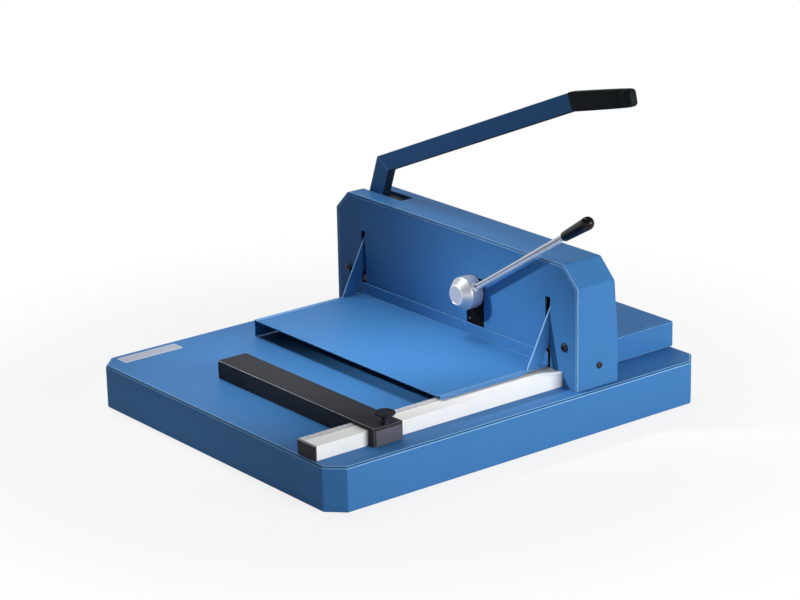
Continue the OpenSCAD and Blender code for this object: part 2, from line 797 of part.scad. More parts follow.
module blade_carrier() {
    pin_h = pivot_h + pin_r * sin(pin_a);
    half = drive_roller_r + fork_play;
    pin_x = -pivot_x + pin_r * cos(pin_a);
    color(iron) on_table() difference() {
        along_y(blade_back, carrier_back)
            polygon([[carrier_left, pin_h - half - 12], [carrier_left + 24, carrier_bottom_h],
                [carrier_right, carrier_bottom_h], [carrier_right, guide_pin_h + 18],
                [carrier_right - 70, carrier_top_h - 14], [carrier_left + 90, carrier_top_h],
                [carrier_left, carrier_top_h]]);
        box(carrier_left - over, pin_x + 10, blade_back - over, carrier_back + over,
            pin_h - half, pin_h + half);
        rod_along_y(pin_x + 10, pin_h, blade_back - over, carrier_back + over, half);
        for (x = guide_pin_xs)
            rod_along_y(x, guide_pin_h, blade_back - over, carrier_back + over, guide_pin_r);
        for (i = [0:blade_screws_n - 1])
            rod_along_y(blade_screw_x(i), blade_screw_h(), blade_back - over, carrier_back + over, 3);
    }
}

module blade() {
    color(bright) on_table() difference() {
        along_x(blade_left, blade_left + cut_length)
            polygon([[blade_y, edge_h], [blade_back, edge_h + bevel_h],
                [blade_back, edge_h + blade_h], [blade_y, edge_h + blade_h]]);
        for (i = [0:blade_screws_n - 1]) {
            rod_along_y(blade_screw_x(i), blade_screw_h(), blade_y - over, blade_back + over, 3.2);
            rod_along_y(blade_screw_x(i), blade_screw_h(), blade_y - over, blade_y + 2.2, 6.2);
        }
    }
}

module blade_screws() {
    color(black) on_table() for (i = [0:blade_screws_n - 1]) {
        rod_along_y(blade_screw_x(i), blade_screw_h(), blade_y + 0.2, blade_y + 2.2, 6);
        rod_along_y(blade_screw_x(i), blade_screw_h(), blade_y + 1, carrier_back - 0.5, 3 - gap / 4);
    }
}

module guide_pins() {
    color(steel) on_table() for (x = guide_pin_xs)
        rod_along_y(x, guide_pin_h, blade_back + 0.5, rear_plate_back + 3, guide_pin_r);
}

module guide_rollers() {
    color(bronze) on_table() for (x = guide_pin_xs) difference() {
        union() {
            rod_along_y(x, guide_pin_h, rear_plate_y + 0.2, rear_plate_back + 0.5, guide_roller_r);
            rod_along_y(x, guide_pin_h, rear_plate_back + 0.5, rear_plate_back + 2.5,
                guide_roller_r + 4);
        }
        rod_along_y(x, guide_pin_h, rear_plate_y - over, rear_plate_back + 4,
            guide_pin_r + running);
    }
}

module clamp_beam() {
    top = clamp_rest_h + clamp_beam_h;
    color(steel) on_table() difference() {
        box(-beam_end_x, beam_end_x, beam_y, beam_back, clamp_rest_h, top);
        box(hub_x - block_w / 2 - gap, hub_x + block_w / 2 + gap, beam_y - over, block_back,
            block_low_h, top + over);
        for (x = block_screw_xs()) {
            rod_along_y(x, block_screw_h(), beam_y - over, beam_back + over, 2.6);
            rod_along_y(x, block_screw_h(), beam_back - 2.6, beam_back + over, 4.6);
        }
        for (s = [-1, 1])
            rod_along_x(beam_y + clamp_beam_t / 2, clamp_rest_h + 11, s * beam_end_x - 12,
                s * beam_end_x + 12, 2.5);
        for (x = spring_xs()) translate([x, beam_y + clamp_beam_t / 2, top - 4])
            cylinder(r = 1.6, h = 5);
    }
}

function block_screw_xs() = [hub_x - 18, hub_x + 18];
function block_screw_h() = clamp_rest_h + clamp_beam_h - 7;
function spring_xs() = [-150, 150];

// Sliding blocks on the ends of the beam, which run in the grooves of the uprights
module clamp_guide_blocks() {
    color(nylon) on_table() for (s = [-1, 1]) mirror([s > 0 ? 0 : 1, 0, 0]) difference() {
        union() {
            box(beam_end_x, ear_x, beam_y, beam_back, clamp_rest_h, clamp_rest_h + ear_h);
            rod_along_x(beam_y + clamp_beam_t / 2, clamp_rest_h + 11, beam_end_x - 12,
                beam_end_x + over, 2.5 - gap / 4);
        }
        rod_along_y(guard_slot_x(), guide_screw_h(), beam_y - over, beam_back + over, 2);
    }
}

function guide_screw_h() = clamp_rest_h + 17;

module clamp_guide_screws() {
    color(bright) on_table() for (s = [-1, 1])
        button_screw_y(s * guard_slot_x(), guide_screw_h(), beam_y, 4.7, 2.6, 2 - gap / 8, 8);
}

// Block behind the front plate: its boss slides in the clamp slot and carries the clamp shaft
module clamp_bearing_block() {
    color(iron) on_table() difference() {
        union() {
            box(hub_x - block_w / 2, hub_x + block_w / 2, plate_y + 0.6, block_back, block_low_h,
                block_top_h);
            rod_along_y(hub_x, hub_h, boss_y, block_back, boss_d / 2);
        }
        rod_along_y(hub_x, hub_h, boss_y - over, block_back + over, clamp_shaft_r + running);
        for (x = block_screw_xs())
            rod_along_y(x, block_screw_h(), plate_y, block_back + over, 2.5);
    }
}

module clamp_block_screws() {
    color(steel) on_table() for (x = block_screw_xs()) {
        rod_along_y(x, block_screw_h(), beam_back - 2.5, beam_back - 0.3, 4.4);
        rod_along_y(x, block_screw_h(), plate_y + 0.8, beam_back - over, 2.5 - gap / 4);
    }
}

module clamp_shaft() {
    color(steel) on_table() {
        rod_along_y(hub_x, hub_h, hub_back - hub_l + 6, beam_back, clamp_shaft_r);
        rod_along_y(hub_x, hub_h, hub_back + gap / 2, boss_y - gap / 2, collar_r);
    }
}

module clamp_hub() {
    front = hub_back - hub_l;
    color(bright) on_table() difference() {
        translate([hub_x, hub_back, hub_h]) rotate([90, 0, 0]) rotate_extrude($fn = 96)
            polygon([[0, 0], [hub_r - 1.5, 0], [hub_r, 1.5], [hub_r, hub_l - hub_bevel],
                [hub_face_r, hub_l], [0, hub_l]]);
        rod_along_y(hub_x, hub_h, front + 6, hub_back + over, clamp_shaft_r);
        along_rod(hub_r - 9, hub_r + 6) circle(rod_r);
        along_rod(hub_r - 1, hub_r + 6) circle(rod_r + 3.4);
    }
}

// Extrudes its child along the clamp rod, from one distance from the hub axis to another
module along_rod(r0, r1) {
    translate([hub_x, rod_y, hub_h]) rotate([0, 90 - rod_tilt, 0]) translate([0, 0, r0])
        linear_extrude(r1 - r0) children();
}

module clamp_rod() {
    color(bright) on_table() {
        along_rod(hub_r - 9, rod_reach + 25) circle(rod_r);
        along_rod(hub_r - 1, hub_r + 3.5) circle(rod_r + 2.8, $fn = 6);
    }
}

module clamp_knob() {
    end = knob_l - knob_end_r;
    color(black) on_table() difference() {
        translate([hub_x, rod_y, hub_h]) rotate([0, 90 - rod_tilt, 0])
            translate([0, 0, rod_reach]) rotate_extrude($fn = 64)
                polygon(concat([[0, 0], [knob_foot_r - 1, 0], [knob_foot_r, 1], [knob_end_r, end]],
                    [for (a = [8:8:82]) [knob_end_r * cos(a), end + knob_end_r * sin(a)]],
                    [[0, end + knob_end_r]]));
        along_rod(rod_reach - over, rod_reach + 25) circle(rod_r);
    }
}

// Spiral cam: it keeps the roller's centre on a spiral whose radius grows evenly with the
// angle, so the clamp moves evenly with its lever
module spiral_cam() {
    color(iron) on_table() difference() {
        along_y(cam_y, cam_y + cam_t) translate([hub_x, hub_h])
            polygon(concat([for (a = [0:5:clamp_swing]) cam_face(a)],
                [for (a = [165:9.75:360]) (cam_r0 - cam_gap) * [sin(a), cos(a)]],
                [for (a = [7:7:21]) [0, cam_r0 + cam_roller_r]
                    - (cam_roller_r + cam_gap) * [-sin(a), cos(a)]]));
        rod_along_y(hub_x, hub_h, cam_y - over, cam_y + cam_t + over, clamp_shaft_r);
    }
}

// Point of the cam that bears on the roller once the lever has turned by a
function cam_face(a) =
    let (out = [sin(a), cos(a)], r = cam_r0 + cam_roller_r + cam_rate * a,
        t = cam_rate * 180 / PI * out + r * [out.y, -out.x])
    r * out - (cam_roller_r + cam_gap) * unit([-t.y, t.x]);

module cam_roller() {
    color(bronze) on_table() difference() {
        rod_along_y(hub_x, cam_roller_h, cam_y, cam_y + cam_t, cam_roller_r);
        rod_along_y(hub_x, cam_roller_h, cam_y - over, cam_y + cam_t + over, 4 + running);
    }
}

// Plate on the back of the front plate, with the stud that carries the cam roller
module cam_roller_stud() {
    color(steel) on_table() {
        box(hub_x - 22, hub_x + 22, plate_y, cam_y - 0.5, block_top_h + 3, block_top_h + 24);
        rod_along_y(hub_x, cam_roller_h, bridge_y + 1.6, beam_back + 0.4, 3 - gap / 4);
        rod_along_y(hub_x, cam_roller_h, plate_y, beam_back + 0.4, 4);
    }
}

// Plain sleeves that stand for the two return springs, which never show
module clamp_return_springs() {
    low = clamp_rest_h + clamp_beam_h;
    color(steel) on_table() for (x = spring_xs()) translate([x, beam_y + clamp_beam_t / 2, 0])
        difference() {
            translate([0, 0, low + gap]) cylinder(r = 4, h = spring_post_h - 3 - low - 2 * gap);
            translate([0, 0, low - over]) cylinder(r = 2.8, h = spring_post_h);
        }
}

module spring_posts() {
    color(steel) on_table() for (x = spring_xs())
        rod_along_y(x, spring_post_h, plate_y, beam_back, 3);
}

module guard_arm() {
    n = [sin(arm_a), -cos(arm_a)] * arm_w / 2;
    t = [cos(arm_a), sin(arm_a)];
    pivot = [guard_pivot_y, guard_pivot_h];
    foot_h = guard_h - 0.5;
    front = pivot - n - t * (pivot - n - [0, foot_h]).y / t.y;
    rear = pivot + n - t * (pivot + n - [0, foot_h]).y / t.y;
    difference() {
        union() {
            polygon([front, pivot - n, pivot + n, rear]);
            translate(pivot) circle(arm_w / 2);
        }
        translate(pivot) circle(4 + running);
    }
}

module guard() {
    x = guard_w / 2;
    low = guard_h - sheet;
    y0 = -guard_front;
    y1 = upstand_back;
    color(paint) on_table() {
        difference() {
            union() {
                box(-x, x, y0, y1, low, guard_h);
                box(-x, x, y1 - sheet, y1, low, guard_top_h);
                box(-x, -x + sheet, y0, 55, 1.2, guard_h);
                box(x - sheet, x, y0, 55, rail_h + 1.4, guard_h);
            }
            for (s = [-1, 1])
                box(s * (arm_x + 6) - 5, s * (arm_x + 6) + 5, y1 - 3 * sheet, y1 + over,
                    low - over, guard_top_h + over);
        }
        along_x(arm_x, arm_x + arm_t) guard_arm();
        along_x(-arm_x - arm_t, -arm_x) guard_arm();
    }
}

module guard_pivot_bolts() {
    color(steel) on_table() for (s = [-1, 1]) mirror([s > 0 ? 0 : 1, 0, 0]) {
        rod_along_x(guard_pivot_y, guard_pivot_h, arm_x - 4, arm_x - 0.3, 7);
        rod_along_x(guard_pivot_y, guard_pivot_h, arm_x - over, upright_in + 8, 4 - running / 2);
        rod_along_x(guard_pivot_y, guard_pivot_h, arm_x + arm_t + 0.3, upright_in, 7);
    }
}

module backstop_bar() {
    lip = stop_right - rail_out - stop_gap;
    color(black) on_table() difference() {
        box(stop_left, stop_right, stop_y, stop_y + stop_d, stop_gap, stop_h);
        box(rail_x - stop_gap, rail_out + stop_gap, stop_y - over, stop_y + stop_d + over, 0,
            rail_h + scale_t + 0.4);
        box(stop_left + 8, rail_x - 20, stop_y + 6, stop_y + stop_d - 6, 0, stop_h - 4);
        translate([thumb_x, thumb_y, 4]) cylinder(r = 3 + running, h = stop_h);
        box(stop_right - 1, stop_right + over, stop_y + 4, stop_y + stop_d - 2, 1.6, stop_h - 5);
    }
}

module backstop_end_plate() {
    color(iron) on_table() box(stop_right - 1, stop_right + 0.6, stop_y + 4 + gap,
        stop_y + stop_d - 2 - gap, 1.6 + gap, stop_h - 5 - gap);
}

module thumb_screw() {
    color(steel) on_table() translate([thumb_x, thumb_y, 5])
        cylinder(r = 3, h = stop_h + thumb_neck - 5);
}

module thumb_knob() {
    disc = 5;
    color(black) on_table() translate([thumb_x, thumb_y, stop_h + 0.3]) difference() {
        rotate_extrude($fn = 64)
            polygon([[0, 0], [5.8, 0], [5, 2], [5, thumb_neck - 3], [7, thumb_neck - 1.5],
                [thumb_r - 1, thumb_neck - 1], [thumb_r, thumb_neck + 0.5],
                [thumb_r - 0.6, thumb_neck + 2], [thumb_r - 5, thumb_neck + disc - 1.6],
                [0, thumb_neck + disc - 1]]);
        translate([0, 0, -over]) cylinder(r = 3, h = thumb_neck + over - 0.3);
    }
}

module rear_hood() {
    plan_w = hood_w;
    depth = hood_back - hood_front;
    mid_y = (hood_back + hood_front) / 2;
    plan = [[plan_w / 2, -depth / 2], [plan_w / 2, depth / 2], [-plan_w / 2, depth / 2],
        [-plan_w / 2, -depth / 2]];
    color(paint) on_table() translate([0, mid_y, 0]) difference() {
        translate([0, 0, hood_lift]) linear_extrude(hood_h - hood_lift) polygon(plan);
        difference() {
            fold_cutters(plan, hood_h, hood_fold);
            box(-plan_w / 2 + hood_fold, plan_w / 2 - hood_fold, -depth / 2 - 2 * over,
                -depth / 2 + hood_fold + over, 0, hood_h + 2 * over);
        }
        box(-plan_w / 2 + sheet, plan_w / 2 - sheet, -depth / 2 - over, depth / 2 - sheet, -over,
            hood_h - sheet);
    }
}

module hinge_knuckle(x0, x1) {
    difference() {
        rod_along_x(hood_axis_y, hood_axis_h, x0, x1, knuckle_r);
        rod_along_x(hood_axis_y, hood_axis_h, x0 - over, x1 + over, 1.8 + running);
    }
}

module hood_hinge_fixed_leaves() {
    color(steel) on_table() for (s = [-1, 1]) translate([s * hood_hinge_x, 0, 0]) {
        difference() {
            box(-leaf_l / 2, leaf_l / 2, bridge_back, bridge_back + leaf_t, hood_axis_h - 3,
                hood_axis_h + 18);
            rod_along_x(hood_axis_y, hood_axis_h, -leaf_l, leaf_l, knuckle_r - 0.4);
            box(-10.5, 10.5, bridge_back - over, bridge_back + 4, 0, hood_axis_h + knuckle_r + 0.5);
        }
        hinge_knuckle(-leaf_l / 2, -10.5);
        hinge_knuckle(10.5, leaf_l / 2);
    }
}

module hood_hinge_moving_leaves() {
    color(steel) on_table() for (s = [-1, 1]) translate([s * hood_hinge_x, 0, 0]) {
        difference() {
            box(-leaf_l / 2, leaf_l / 2, hood_axis_y + knuckle_r + 1, hood_axis_y + 28, hood_h,
                hood_h + leaf_t);
            rod_along_x(hood_axis_y, hood_axis_h, -leaf_l, leaf_l, knuckle_r - 0.4);
        }
        difference() {
            box(-10, 10, hood_axis_y, hood_axis_y + 12, hood_h, hood_h + leaf_t);
            rod_along_x(hood_axis_y, hood_axis_h, -leaf_l, leaf_l, knuckle_r - 0.4);
        }
        hinge_knuckle(-10, 10);
    }
}

module hood_hinge_pins() {
    color(bright) on_table() for (s = [-1, 1]) translate([s * hood_hinge_x, 0, 0])
        rod_along_x(hood_axis_y, hood_axis_h, -leaf_l / 2 - 1, leaf_l / 2 + 1, 1.8);
}

base_housing();
bottom_plate();
bed_beam();
cutting_stick();
blank_label();
upright_left();
upright_right();
upright_bolts();
front_plate();
front_plate_bolts();
rear_frame_plate();
frame_spacers();
frame_bolts();
bridge_cover();
cover_bolts();
lever_shaft();
lever_shaft_rings();
side_lay();
side_lay_scale();
side_lay_end_cap();
side_lay_screws();
blade_lever_arm();
lever_grip();
lever_crank();
lever_bush();
drive_pin();
drive_roller();
blade_carrier();
blade();
blade_screws();
guide_pins();
guide_rollers();
clamp_beam();
clamp_guide_blocks();
clamp_guide_screws();
clamp_bearing_block();
clamp_block_screws();
clamp_shaft();
clamp_hub();
clamp_rod();
clamp_knob();
spiral_cam();
cam_roller();
cam_roller_stud();
clamp_return_springs();
spring_posts();
guard();
guard_pivot_bolts();
backstop_bar();
backstop_end_plate();
thumb_screw();
thumb_knob();
rear_hood();
hood_hinge_fixed_leaves();
hood_hinge_moving_leaves();
hood_hinge_pins();
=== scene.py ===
"""Looks of the stack paper cutter: its finishes, its detailed pieces, the light and the camera."""

import json
import math

import bmesh
import bpy
from mathutils import Matrix, Vector


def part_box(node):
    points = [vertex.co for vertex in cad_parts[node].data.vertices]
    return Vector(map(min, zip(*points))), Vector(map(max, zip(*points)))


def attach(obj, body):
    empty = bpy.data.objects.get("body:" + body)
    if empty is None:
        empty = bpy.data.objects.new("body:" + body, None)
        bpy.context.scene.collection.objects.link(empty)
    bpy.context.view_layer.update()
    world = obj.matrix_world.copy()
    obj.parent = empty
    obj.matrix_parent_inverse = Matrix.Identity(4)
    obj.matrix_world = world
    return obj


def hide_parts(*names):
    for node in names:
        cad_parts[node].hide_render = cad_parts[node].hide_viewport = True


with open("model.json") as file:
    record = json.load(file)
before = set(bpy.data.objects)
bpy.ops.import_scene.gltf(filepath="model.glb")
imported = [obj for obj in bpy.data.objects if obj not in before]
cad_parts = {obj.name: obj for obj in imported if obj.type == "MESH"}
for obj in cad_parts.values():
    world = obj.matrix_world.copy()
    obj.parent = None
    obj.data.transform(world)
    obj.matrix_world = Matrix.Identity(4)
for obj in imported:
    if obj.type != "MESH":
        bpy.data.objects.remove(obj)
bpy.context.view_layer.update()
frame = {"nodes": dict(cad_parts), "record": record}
BODY_OF = {node: body for body, nodes in frame["record"]["behaviour"]["bodies"].items() for node in nodes}
SLOT_OF = {part["node"]: part["material_slot"] for part in frame["record"]["subparts"]}
MM = 0.001

# Sizes and places that finishes and pieces share, in millimetres, as in the frame

TABLE = 68.0
SHEET = 2.0
BRIDGE_Y, BRIDGE_BACK, COVER_FRONT = 106.0, 184.5, 105.2
BRIDGE_W, BRIDGE_H, BRIDGE_CORNER, BEND = 576.0, 188.0, 31.0, 7.0
HUB_X, HUB_Z = 55.0, TABLE + 100.0
HUB_BACK, HUB_L, HUB_R, HUB_FACE, HUB_BEVEL = 102.2, 33.5, 25.5, 15.0, 11.5

# Colours, in linear light

BLUE = (0.052, 0.2, 0.475)
# Light blue of the enamel's paler places: scuffed edges and painted highlights.
SCUFF_AND_HIGHLIGHT_BLUE = (0.3, 0.54, 0.8)
# Dark navy of painted shade on the enamel.
PAINTED_SHADE_NAVY = (0.002, 0.008, 0.018)
WHITE = (1.0, 1.0, 1.0)


def shade(colour, factor):
    return tuple(factor * c for c in colour)


# Shader nodes


class Wire:
    """An output of a shader node; arithmetic on it adds Math nodes."""

    def __init__(self, shading, socket):
        self.shading = shading
        self.socket = socket

    def math(self, operation, *terms):
        return self.shading.node("Math", {"operation": operation}, dict(enumerate(terms)))

    def __add__(self, other):
        return self.math("ADD", self, other)

    def __sub__(self, other):
        return self.math("SUBTRACT", self, other)

    def __rsub__(self, other):
        return self.math("SUBTRACT", other, self)

    def __mul__(self, other):
        return self.math("MULTIPLY", self, other)

    __radd__ = __add__
    __rmul__ = __mul__

    def size(self):
        return self.math("ABSOLUTE", self)

    def wave(self):
        return self.math("SINE", self)

    def at_least(self, other):
        return self.math("MAXIMUM", self, other)

    def at_most(self, other):
        return self.math("MINIMUM", self, other)

    def between(self, low, high):
        """0 below low, 1 above high, smooth between them."""
        return self.shading.node(
            "MapRange", {"interpolation_type": "SMOOTHSTEP"},
            {"Value": self, "From Min": low, "From Max": high},
        )


class Shading:
    """The nodes of a material or of the world."""

    def __init__(self, owner):
        owner.use_nodes = True
        self.tree = owner.node_tree

    def node(self, kind, settings=None, inputs=None, output=0):
        """Adds a node and gives one of its outputs."""
        made = self.tree.nodes.new("ShaderNode" + kind)
        for name, value in (settings or {}).items():
            setattr(made, name, value)
        for name, value in (inputs or {}).items():
            self.feed(made.inputs[name], value)
        return Wire(self, made.outputs[output])

    def feed(self, socket, value):
        if isinstance(value, Wire):
            self.tree.links.new(value.socket, socket)
        elif isinstance(value, tuple) and socket.type == "RGBA":
            socket.default_value = (*value, 1)
        else:
            socket.default_value = value

    def blend(self, mask, low, high):
        """Shader low where the mask is 0, high where it is 1."""
        return self.node("MixShader", None, {0: mask, 1: low, 2: high})

    def show(self, surface):
        """Shows a shader in place of the one that a new tree starts with."""
        end = next(node for node in self.tree.nodes if node.type.startswith("OUTPUT")).inputs["Surface"]
        self.tree.nodes.remove(end.links[0].from_node)
        self.feed(end, surface)


class Finish(Shading):
    """A procedural material, built round one Principled shader."""

    def __init__(self, name, **plain):
        self.material = bpy.data.materials.new(name)
        super().__init__(self.material)
        self.shader = self.tree.nodes["Principled BSDF"]
        for socket, value in plain.items():
            self.set(socket.replace("_", " "), value)
        self.place = self.node("TexCoord", output="Object")
        self.turned = self.node("TexCoord", output="Normal")

    def set(self, socket, value):
        self.feed(self.shader.inputs[socket], value)

    def done(self, colour, rough, height=None, depth=0.0):
        """Gives the shader its colour and roughness, and raises it by height times depth in mm."""
        self.set("Base Color", colour)
        self.set("Roughness", rough)
        if height is not None:
            bump = {"Strength": 1.0, "Distance": depth * MM, "Height": height}
            self.set("Normal", self.node("Bump", None, bump))
        return self.material

    def stretched(self, *scales):
        """The place on the piece in millimetres, scaled along each axis."""
        factors = tuple(s / MM for s in scales)
        return self.node("VectorMath", {"operation": "MULTIPLY"}, {0: self.place, 1: factors})

    def axis(self, letter):
        """The place along one axis, in millimetres."""
        return self.node("SeparateXYZ", None, {0: self.place}, letter) * (1 / MM)

    def facing(self, letter):
        """How much the surface faces along an axis of the piece, from -1 to 1."""
        return self.node("SeparateXYZ", None, {0: self.turned}, letter)

    def noise(self, across, detail=3.0, rough=0.5, stretch=(1, 1, 1), seed=0.0):
        """Soft noise whose grains are about `across` millimetres wide."""
        place = self.stretched(*(s / across for s in stretch))
        fields = {"Vector": place, "W": seed, "Scale": 1.0, "Detail": detail, "Roughness": rough}
        return self.node("TexNoise", {"noise_dimensions": "4D"}, fields, "Fac")

    def specks(self, across, seed=0.0):
        """Distance to the nearest of many points that are `across` millimetres apart."""
        fields = {"Vector": self.stretched(*(1 / across,) * 3), "W": seed, "Scale": 1.0}
        return self.node("TexVoronoi", {"voronoi_dimensions": "4D"}, fields, "Distance")

    def mix(self, mask, low, high):
        """Colour low where the mask is 0, high where it is 1."""
        return self.node("Mix", {"data_type": "RGBA"}, {0: mask, 6: low, 7: high}, 2)

    def edges(self, reach):
        """Near 1 along edges, within `reach` millimetres of them."""
        rounded_off = self.node("Bevel", {"samples": 4}, {"Radius": reach * MM})
        true = self.node("NewGeometry", output="Normal")
        same = self.node("VectorMath", {"operation": "DOT_PRODUCT"}, {0: rounded_off, 1: true}, "Value")
        return (1 - same).between(0.01, 0.2)


# Finishes


def enamel(name, colour=BLUE, folds=None, shaded=False, highlight_lines=None, tone=None):
    """Satin powder coat on sheet steel, paler on its edges: partly scuffing, partly painted highlight.

    The four below paint light and shade into the coat. The four below are painted tones that stand in
    for light in the photograph, not wear or a real coat.
    folds: "round" paints highlights on the top and the foot of a rounded fold and shade in its middle,
    "crest" paints a highlight on its top only.
    shaded: surfaces that face down are darkened with painted shade.
    highlight_lines: gives a mask of more places where highlight lines are painted, from the finish.
    tone: gives a mask of where painted shade darkens the coat.
    """
    f = Finish(name, Specular_IOR_Level=0.08)
    cloud, fine = f.noise(90, 2, seed=1), f.noise(7, 3, seed=2)
    edge = f.edges(1.2)
    patchy = 0.62 + f.noise(3, 4, 0.6, seed=4) * 0.6
    # Edges are paler: partly scuffing, partly painted highlight.
    paler = edge * patchy
    up = f.facing("Z")
    light = tuple(1.06 * c + 0.004 for c in colour)
    coat = f.mix(cloud * 0.7 + fine * 0.3, shade(colour, 0.93), light)
    if tone:
        # Painted shade darkens the coat where the mask says.
        coat = f.mix(tone(f), coat, shade(colour, 0.5))
    if folds == "round":
        # Round folds: painted highlights along the top and the foot, painted shade in the middle.
        crest = up.between(0.84, 0.91) * (1 - up.between(0.965, 0.985))
        foot = up.between(0.03, 0.1) * (1 - up.between(0.3, 0.42))
        middle = up.between(0.42, 0.55) * (1 - up.between(0.74, 0.82))
        paler = paler.at_least(crest * 1.05 + foot)
        coat = f.mix(middle * 0.55, coat, PAINTED_SHADE_NAVY)
    elif folds == "crest":
        # A painted highlight along the top of a fold.
        crest = up.between(0.5, 0.75) * (1 - up.between(0.97, 0.995))
        paler = paler.at_least(crest * 0.5)
    if shaded:
        # Painted shade on surfaces that face down.
        coat = f.mix((up * -1).between(0.12, 0.3) * 0.95, coat, PAINTED_SHADE_NAVY)
    if highlight_lines:
        # Painted highlight lines where the finish's mask says.
        paler = paler.at_least(highlight_lines(f) * patchy)
    # Paler places take a light blue: scuffed edges and painted highlights.
    return f.done(
        f.mix(paler * 0.9, coat, SCUFF_AND_HIGHLIGHT_BLUE),
        0.42 + cloud * 0.06 + fine * 0.05 - edge * 0.08,
        f.noise(1.4, 3, 0.6, seed=3) * 0.7 + f.noise(0.4, 1, seed=5) * 0.3, 0.03,
    )


def plate_rim(f):
    """The outline of the bridge's front plate, as a line along its edge, where a highlight is painted."""
    x, h = f.axis("X").size(), f.axis("Z") - TABLE
    inset = 3.5
    side, top = BRIDGE_W / 2 - inset, BRIDGE_H - inset
    cut = side + top - BRIDGE_CORNER + inset * (2 - math.sqrt(2))
    corner = (x + h - cut) * math.sqrt(0.5)
    return (x - side).at_least((h - top).at_least(corner)).between(-1.9, -1.1)


def plate_tone(f):
    """The front plate is darkened towards its left end, where less light falls in the photograph."""
    return (1 - f.axis("X").between(-300, -60)) * 0.8


def cover_rim(f):
    """The outside of the cover along its front edge, where a highlight is painted."""
    near = 1 - f.axis("Y").between(COVER_FRONT + 1.0, COVER_FRONT + 1.7)
    return near * f.facing("Y").between(-0.6, -0.3) * 0.9


def arm_front(f):
    """The cut front edge of a guard arm, where a highlight is painted."""
    return (f.facing("Y") * -1).between(0.55, 0.75) * f.facing("Z").between(0.2, 0.35) * 1.2


def steel(name, colour, rough, stretch, grain=0.6, tint=None):
    """Bare steel with machining lines that run along the axis with the small stretch."""
    f = Finish(name, Metallic=1.0)
    lines = f.noise(grain, 4, 0.6, stretch, seed=6)
    stain = f.noise(28, 4, 0.6, seed=7).between(0.42, 0.75)
    edge = f.edges(0.5)
    worked = f.mix(stain * 0.6 + lines * 0.25, colour, tint or shade(colour, 0.78))
    return f.done(
        f.mix(edge * 0.7, worked, shade(colour, 1.15)),
        rough + lines * 0.14 + stain * 0.08 - edge * 0.06, lines, 0.004,
    )


def turned_aluminium():
    """Hub turned on a lathe: fine rings round its axis, dull from a light blast, with painted highlights
    along its edges, its ridge and the rim of its face.
    """
    f = Finish("turned_aluminium", Metallic=0.55, Specular_IOR_Level=0.5)
    x, y, z = f.axis("X") - HUB_X, f.axis("Y"), f.axis("Z") - HUB_Z
    square = x * x + z * z
    radius = square.math("POWER", square, 0.5)
    rings = (radius * 9 + y * 11 + f.noise(6, 2, seed=8) * 4).wave() * 0.5 + 0.5
    frost = f.noise(0.5, 3, 0.7, seed=9)
    handled = f.noise(9, 4, 0.6, seed=10).between(0.45, 0.7)
    # Painted highlights: the ridge, the rim round the face and the edges are near white.
    ridge = 1 - (y - (HUB_BACK - HUB_L + HUB_BEVEL)).size().between(0.4, 1.0)
    beyond = 1 - radius.between(HUB_FACE + 0.3, HUB_FACE + 0.8)
    rim = radius.between(HUB_FACE - 1.3, HUB_FACE - 0.8) * beyond
    edge = f.edges(0.8).at_least(ridge.at_least(rim) * 0.9)
    tone = f.mix(handled * 0.6, (0.7, 0.71, 0.76), (0.54, 0.56, 0.62))
    return f.done(
        f.mix(edge, tone, (0.97, 0.98, 1.0)),
        0.3 + frost * 0.12 + handled * 0.08 - edge * 0.1, rings * 0.5 + frost * 0.5, 0.008,
    )


def polished_chrome():
    f = Finish("polished_chrome", Metallic=1.0)
    smear = f.noise(14, 4, 0.6, seed=11).between(0.5, 0.8)
    tone = f.mix(smear, (0.86, 0.87, 0.89), (0.78, 0.79, 0.82))
    return f.done(tone, 0.09 + smear * 0.1, f.noise(3, 2, seed=12), 0.003)


def drawn_rod():
    """Bright drawn bar, plated.

    The dark line along its front and its greyer upper side stand in for reflections in the photograph.
    """
    f = Finish("drawn_rod_plating", Specular_IOR_Level=0.5)
    smear = f.noise(14, 4, 0.6, seed=41).between(0.45, 0.8)
    up, ahead = f.facing("Z"), f.facing("Y") * -1
    # A nearly black line along the front, about half way up: a painted reflection.
    mark_mask = up.between(-0.22, -0.12) * (1 - up.between(0.2, 0.3)) * ahead.between(0.2, 0.45)
    plating = f.mix(smear, (0.95, 0.96, 0.98), (0.88, 0.89, 0.92))
    # The upper side is painted greyer: a painted reflection.
    plating = f.mix(up.between(0.2, 0.35), plating, (0.5, 0.54, 0.62))
    f.set("Metallic", up.between(-0.2, 0.1) * 0.5 + 0.2)
    tone = f.mix(mark_mask * 0.85, plating, (0.1, 0.12, 0.15))
    return f.done(tone, 0.1 + smear * 0.08, f.noise(1.2, 2, seed=42), 0.002)


def slot_screw():
    """Blackened screw whose rim is painted pale: partly scuffing, partly a painted highlight."""
    f = Finish("slot_screw_steel", Metallic=0.8)
    tone = f.mix(f.edges(0.8), (0.035, 0.035, 0.04), (0.4, 0.41, 0.43))
    return f.done(tone, 0.3 + f.noise(2, 3, seed=43) * 0.15, f.noise(0.8, 2, seed=44), 0.004)


def anodised(name, colour, dull):
    """Pale anodised aluminium of the rail and its strip, with die lines along Y."""
    f = Finish(name, Specular_IOR_Level=0.3)
    lines = f.noise(0.9, 3, 0.5, (1, 0.012, 1), seed=13)
    soil = f.noise(22, 4, 0.6, seed=14).between(0.5, 0.8)
    tone = f.mix(f.edges(0.6) * 0.6, f.mix(lines * 0.3 + soil * 0.5, colour, dull), (0.95, 0.95, 0.96))
    return f.done(tone, 0.36 + lines * 0.12 + soil * 0.1, lines, 0.004)


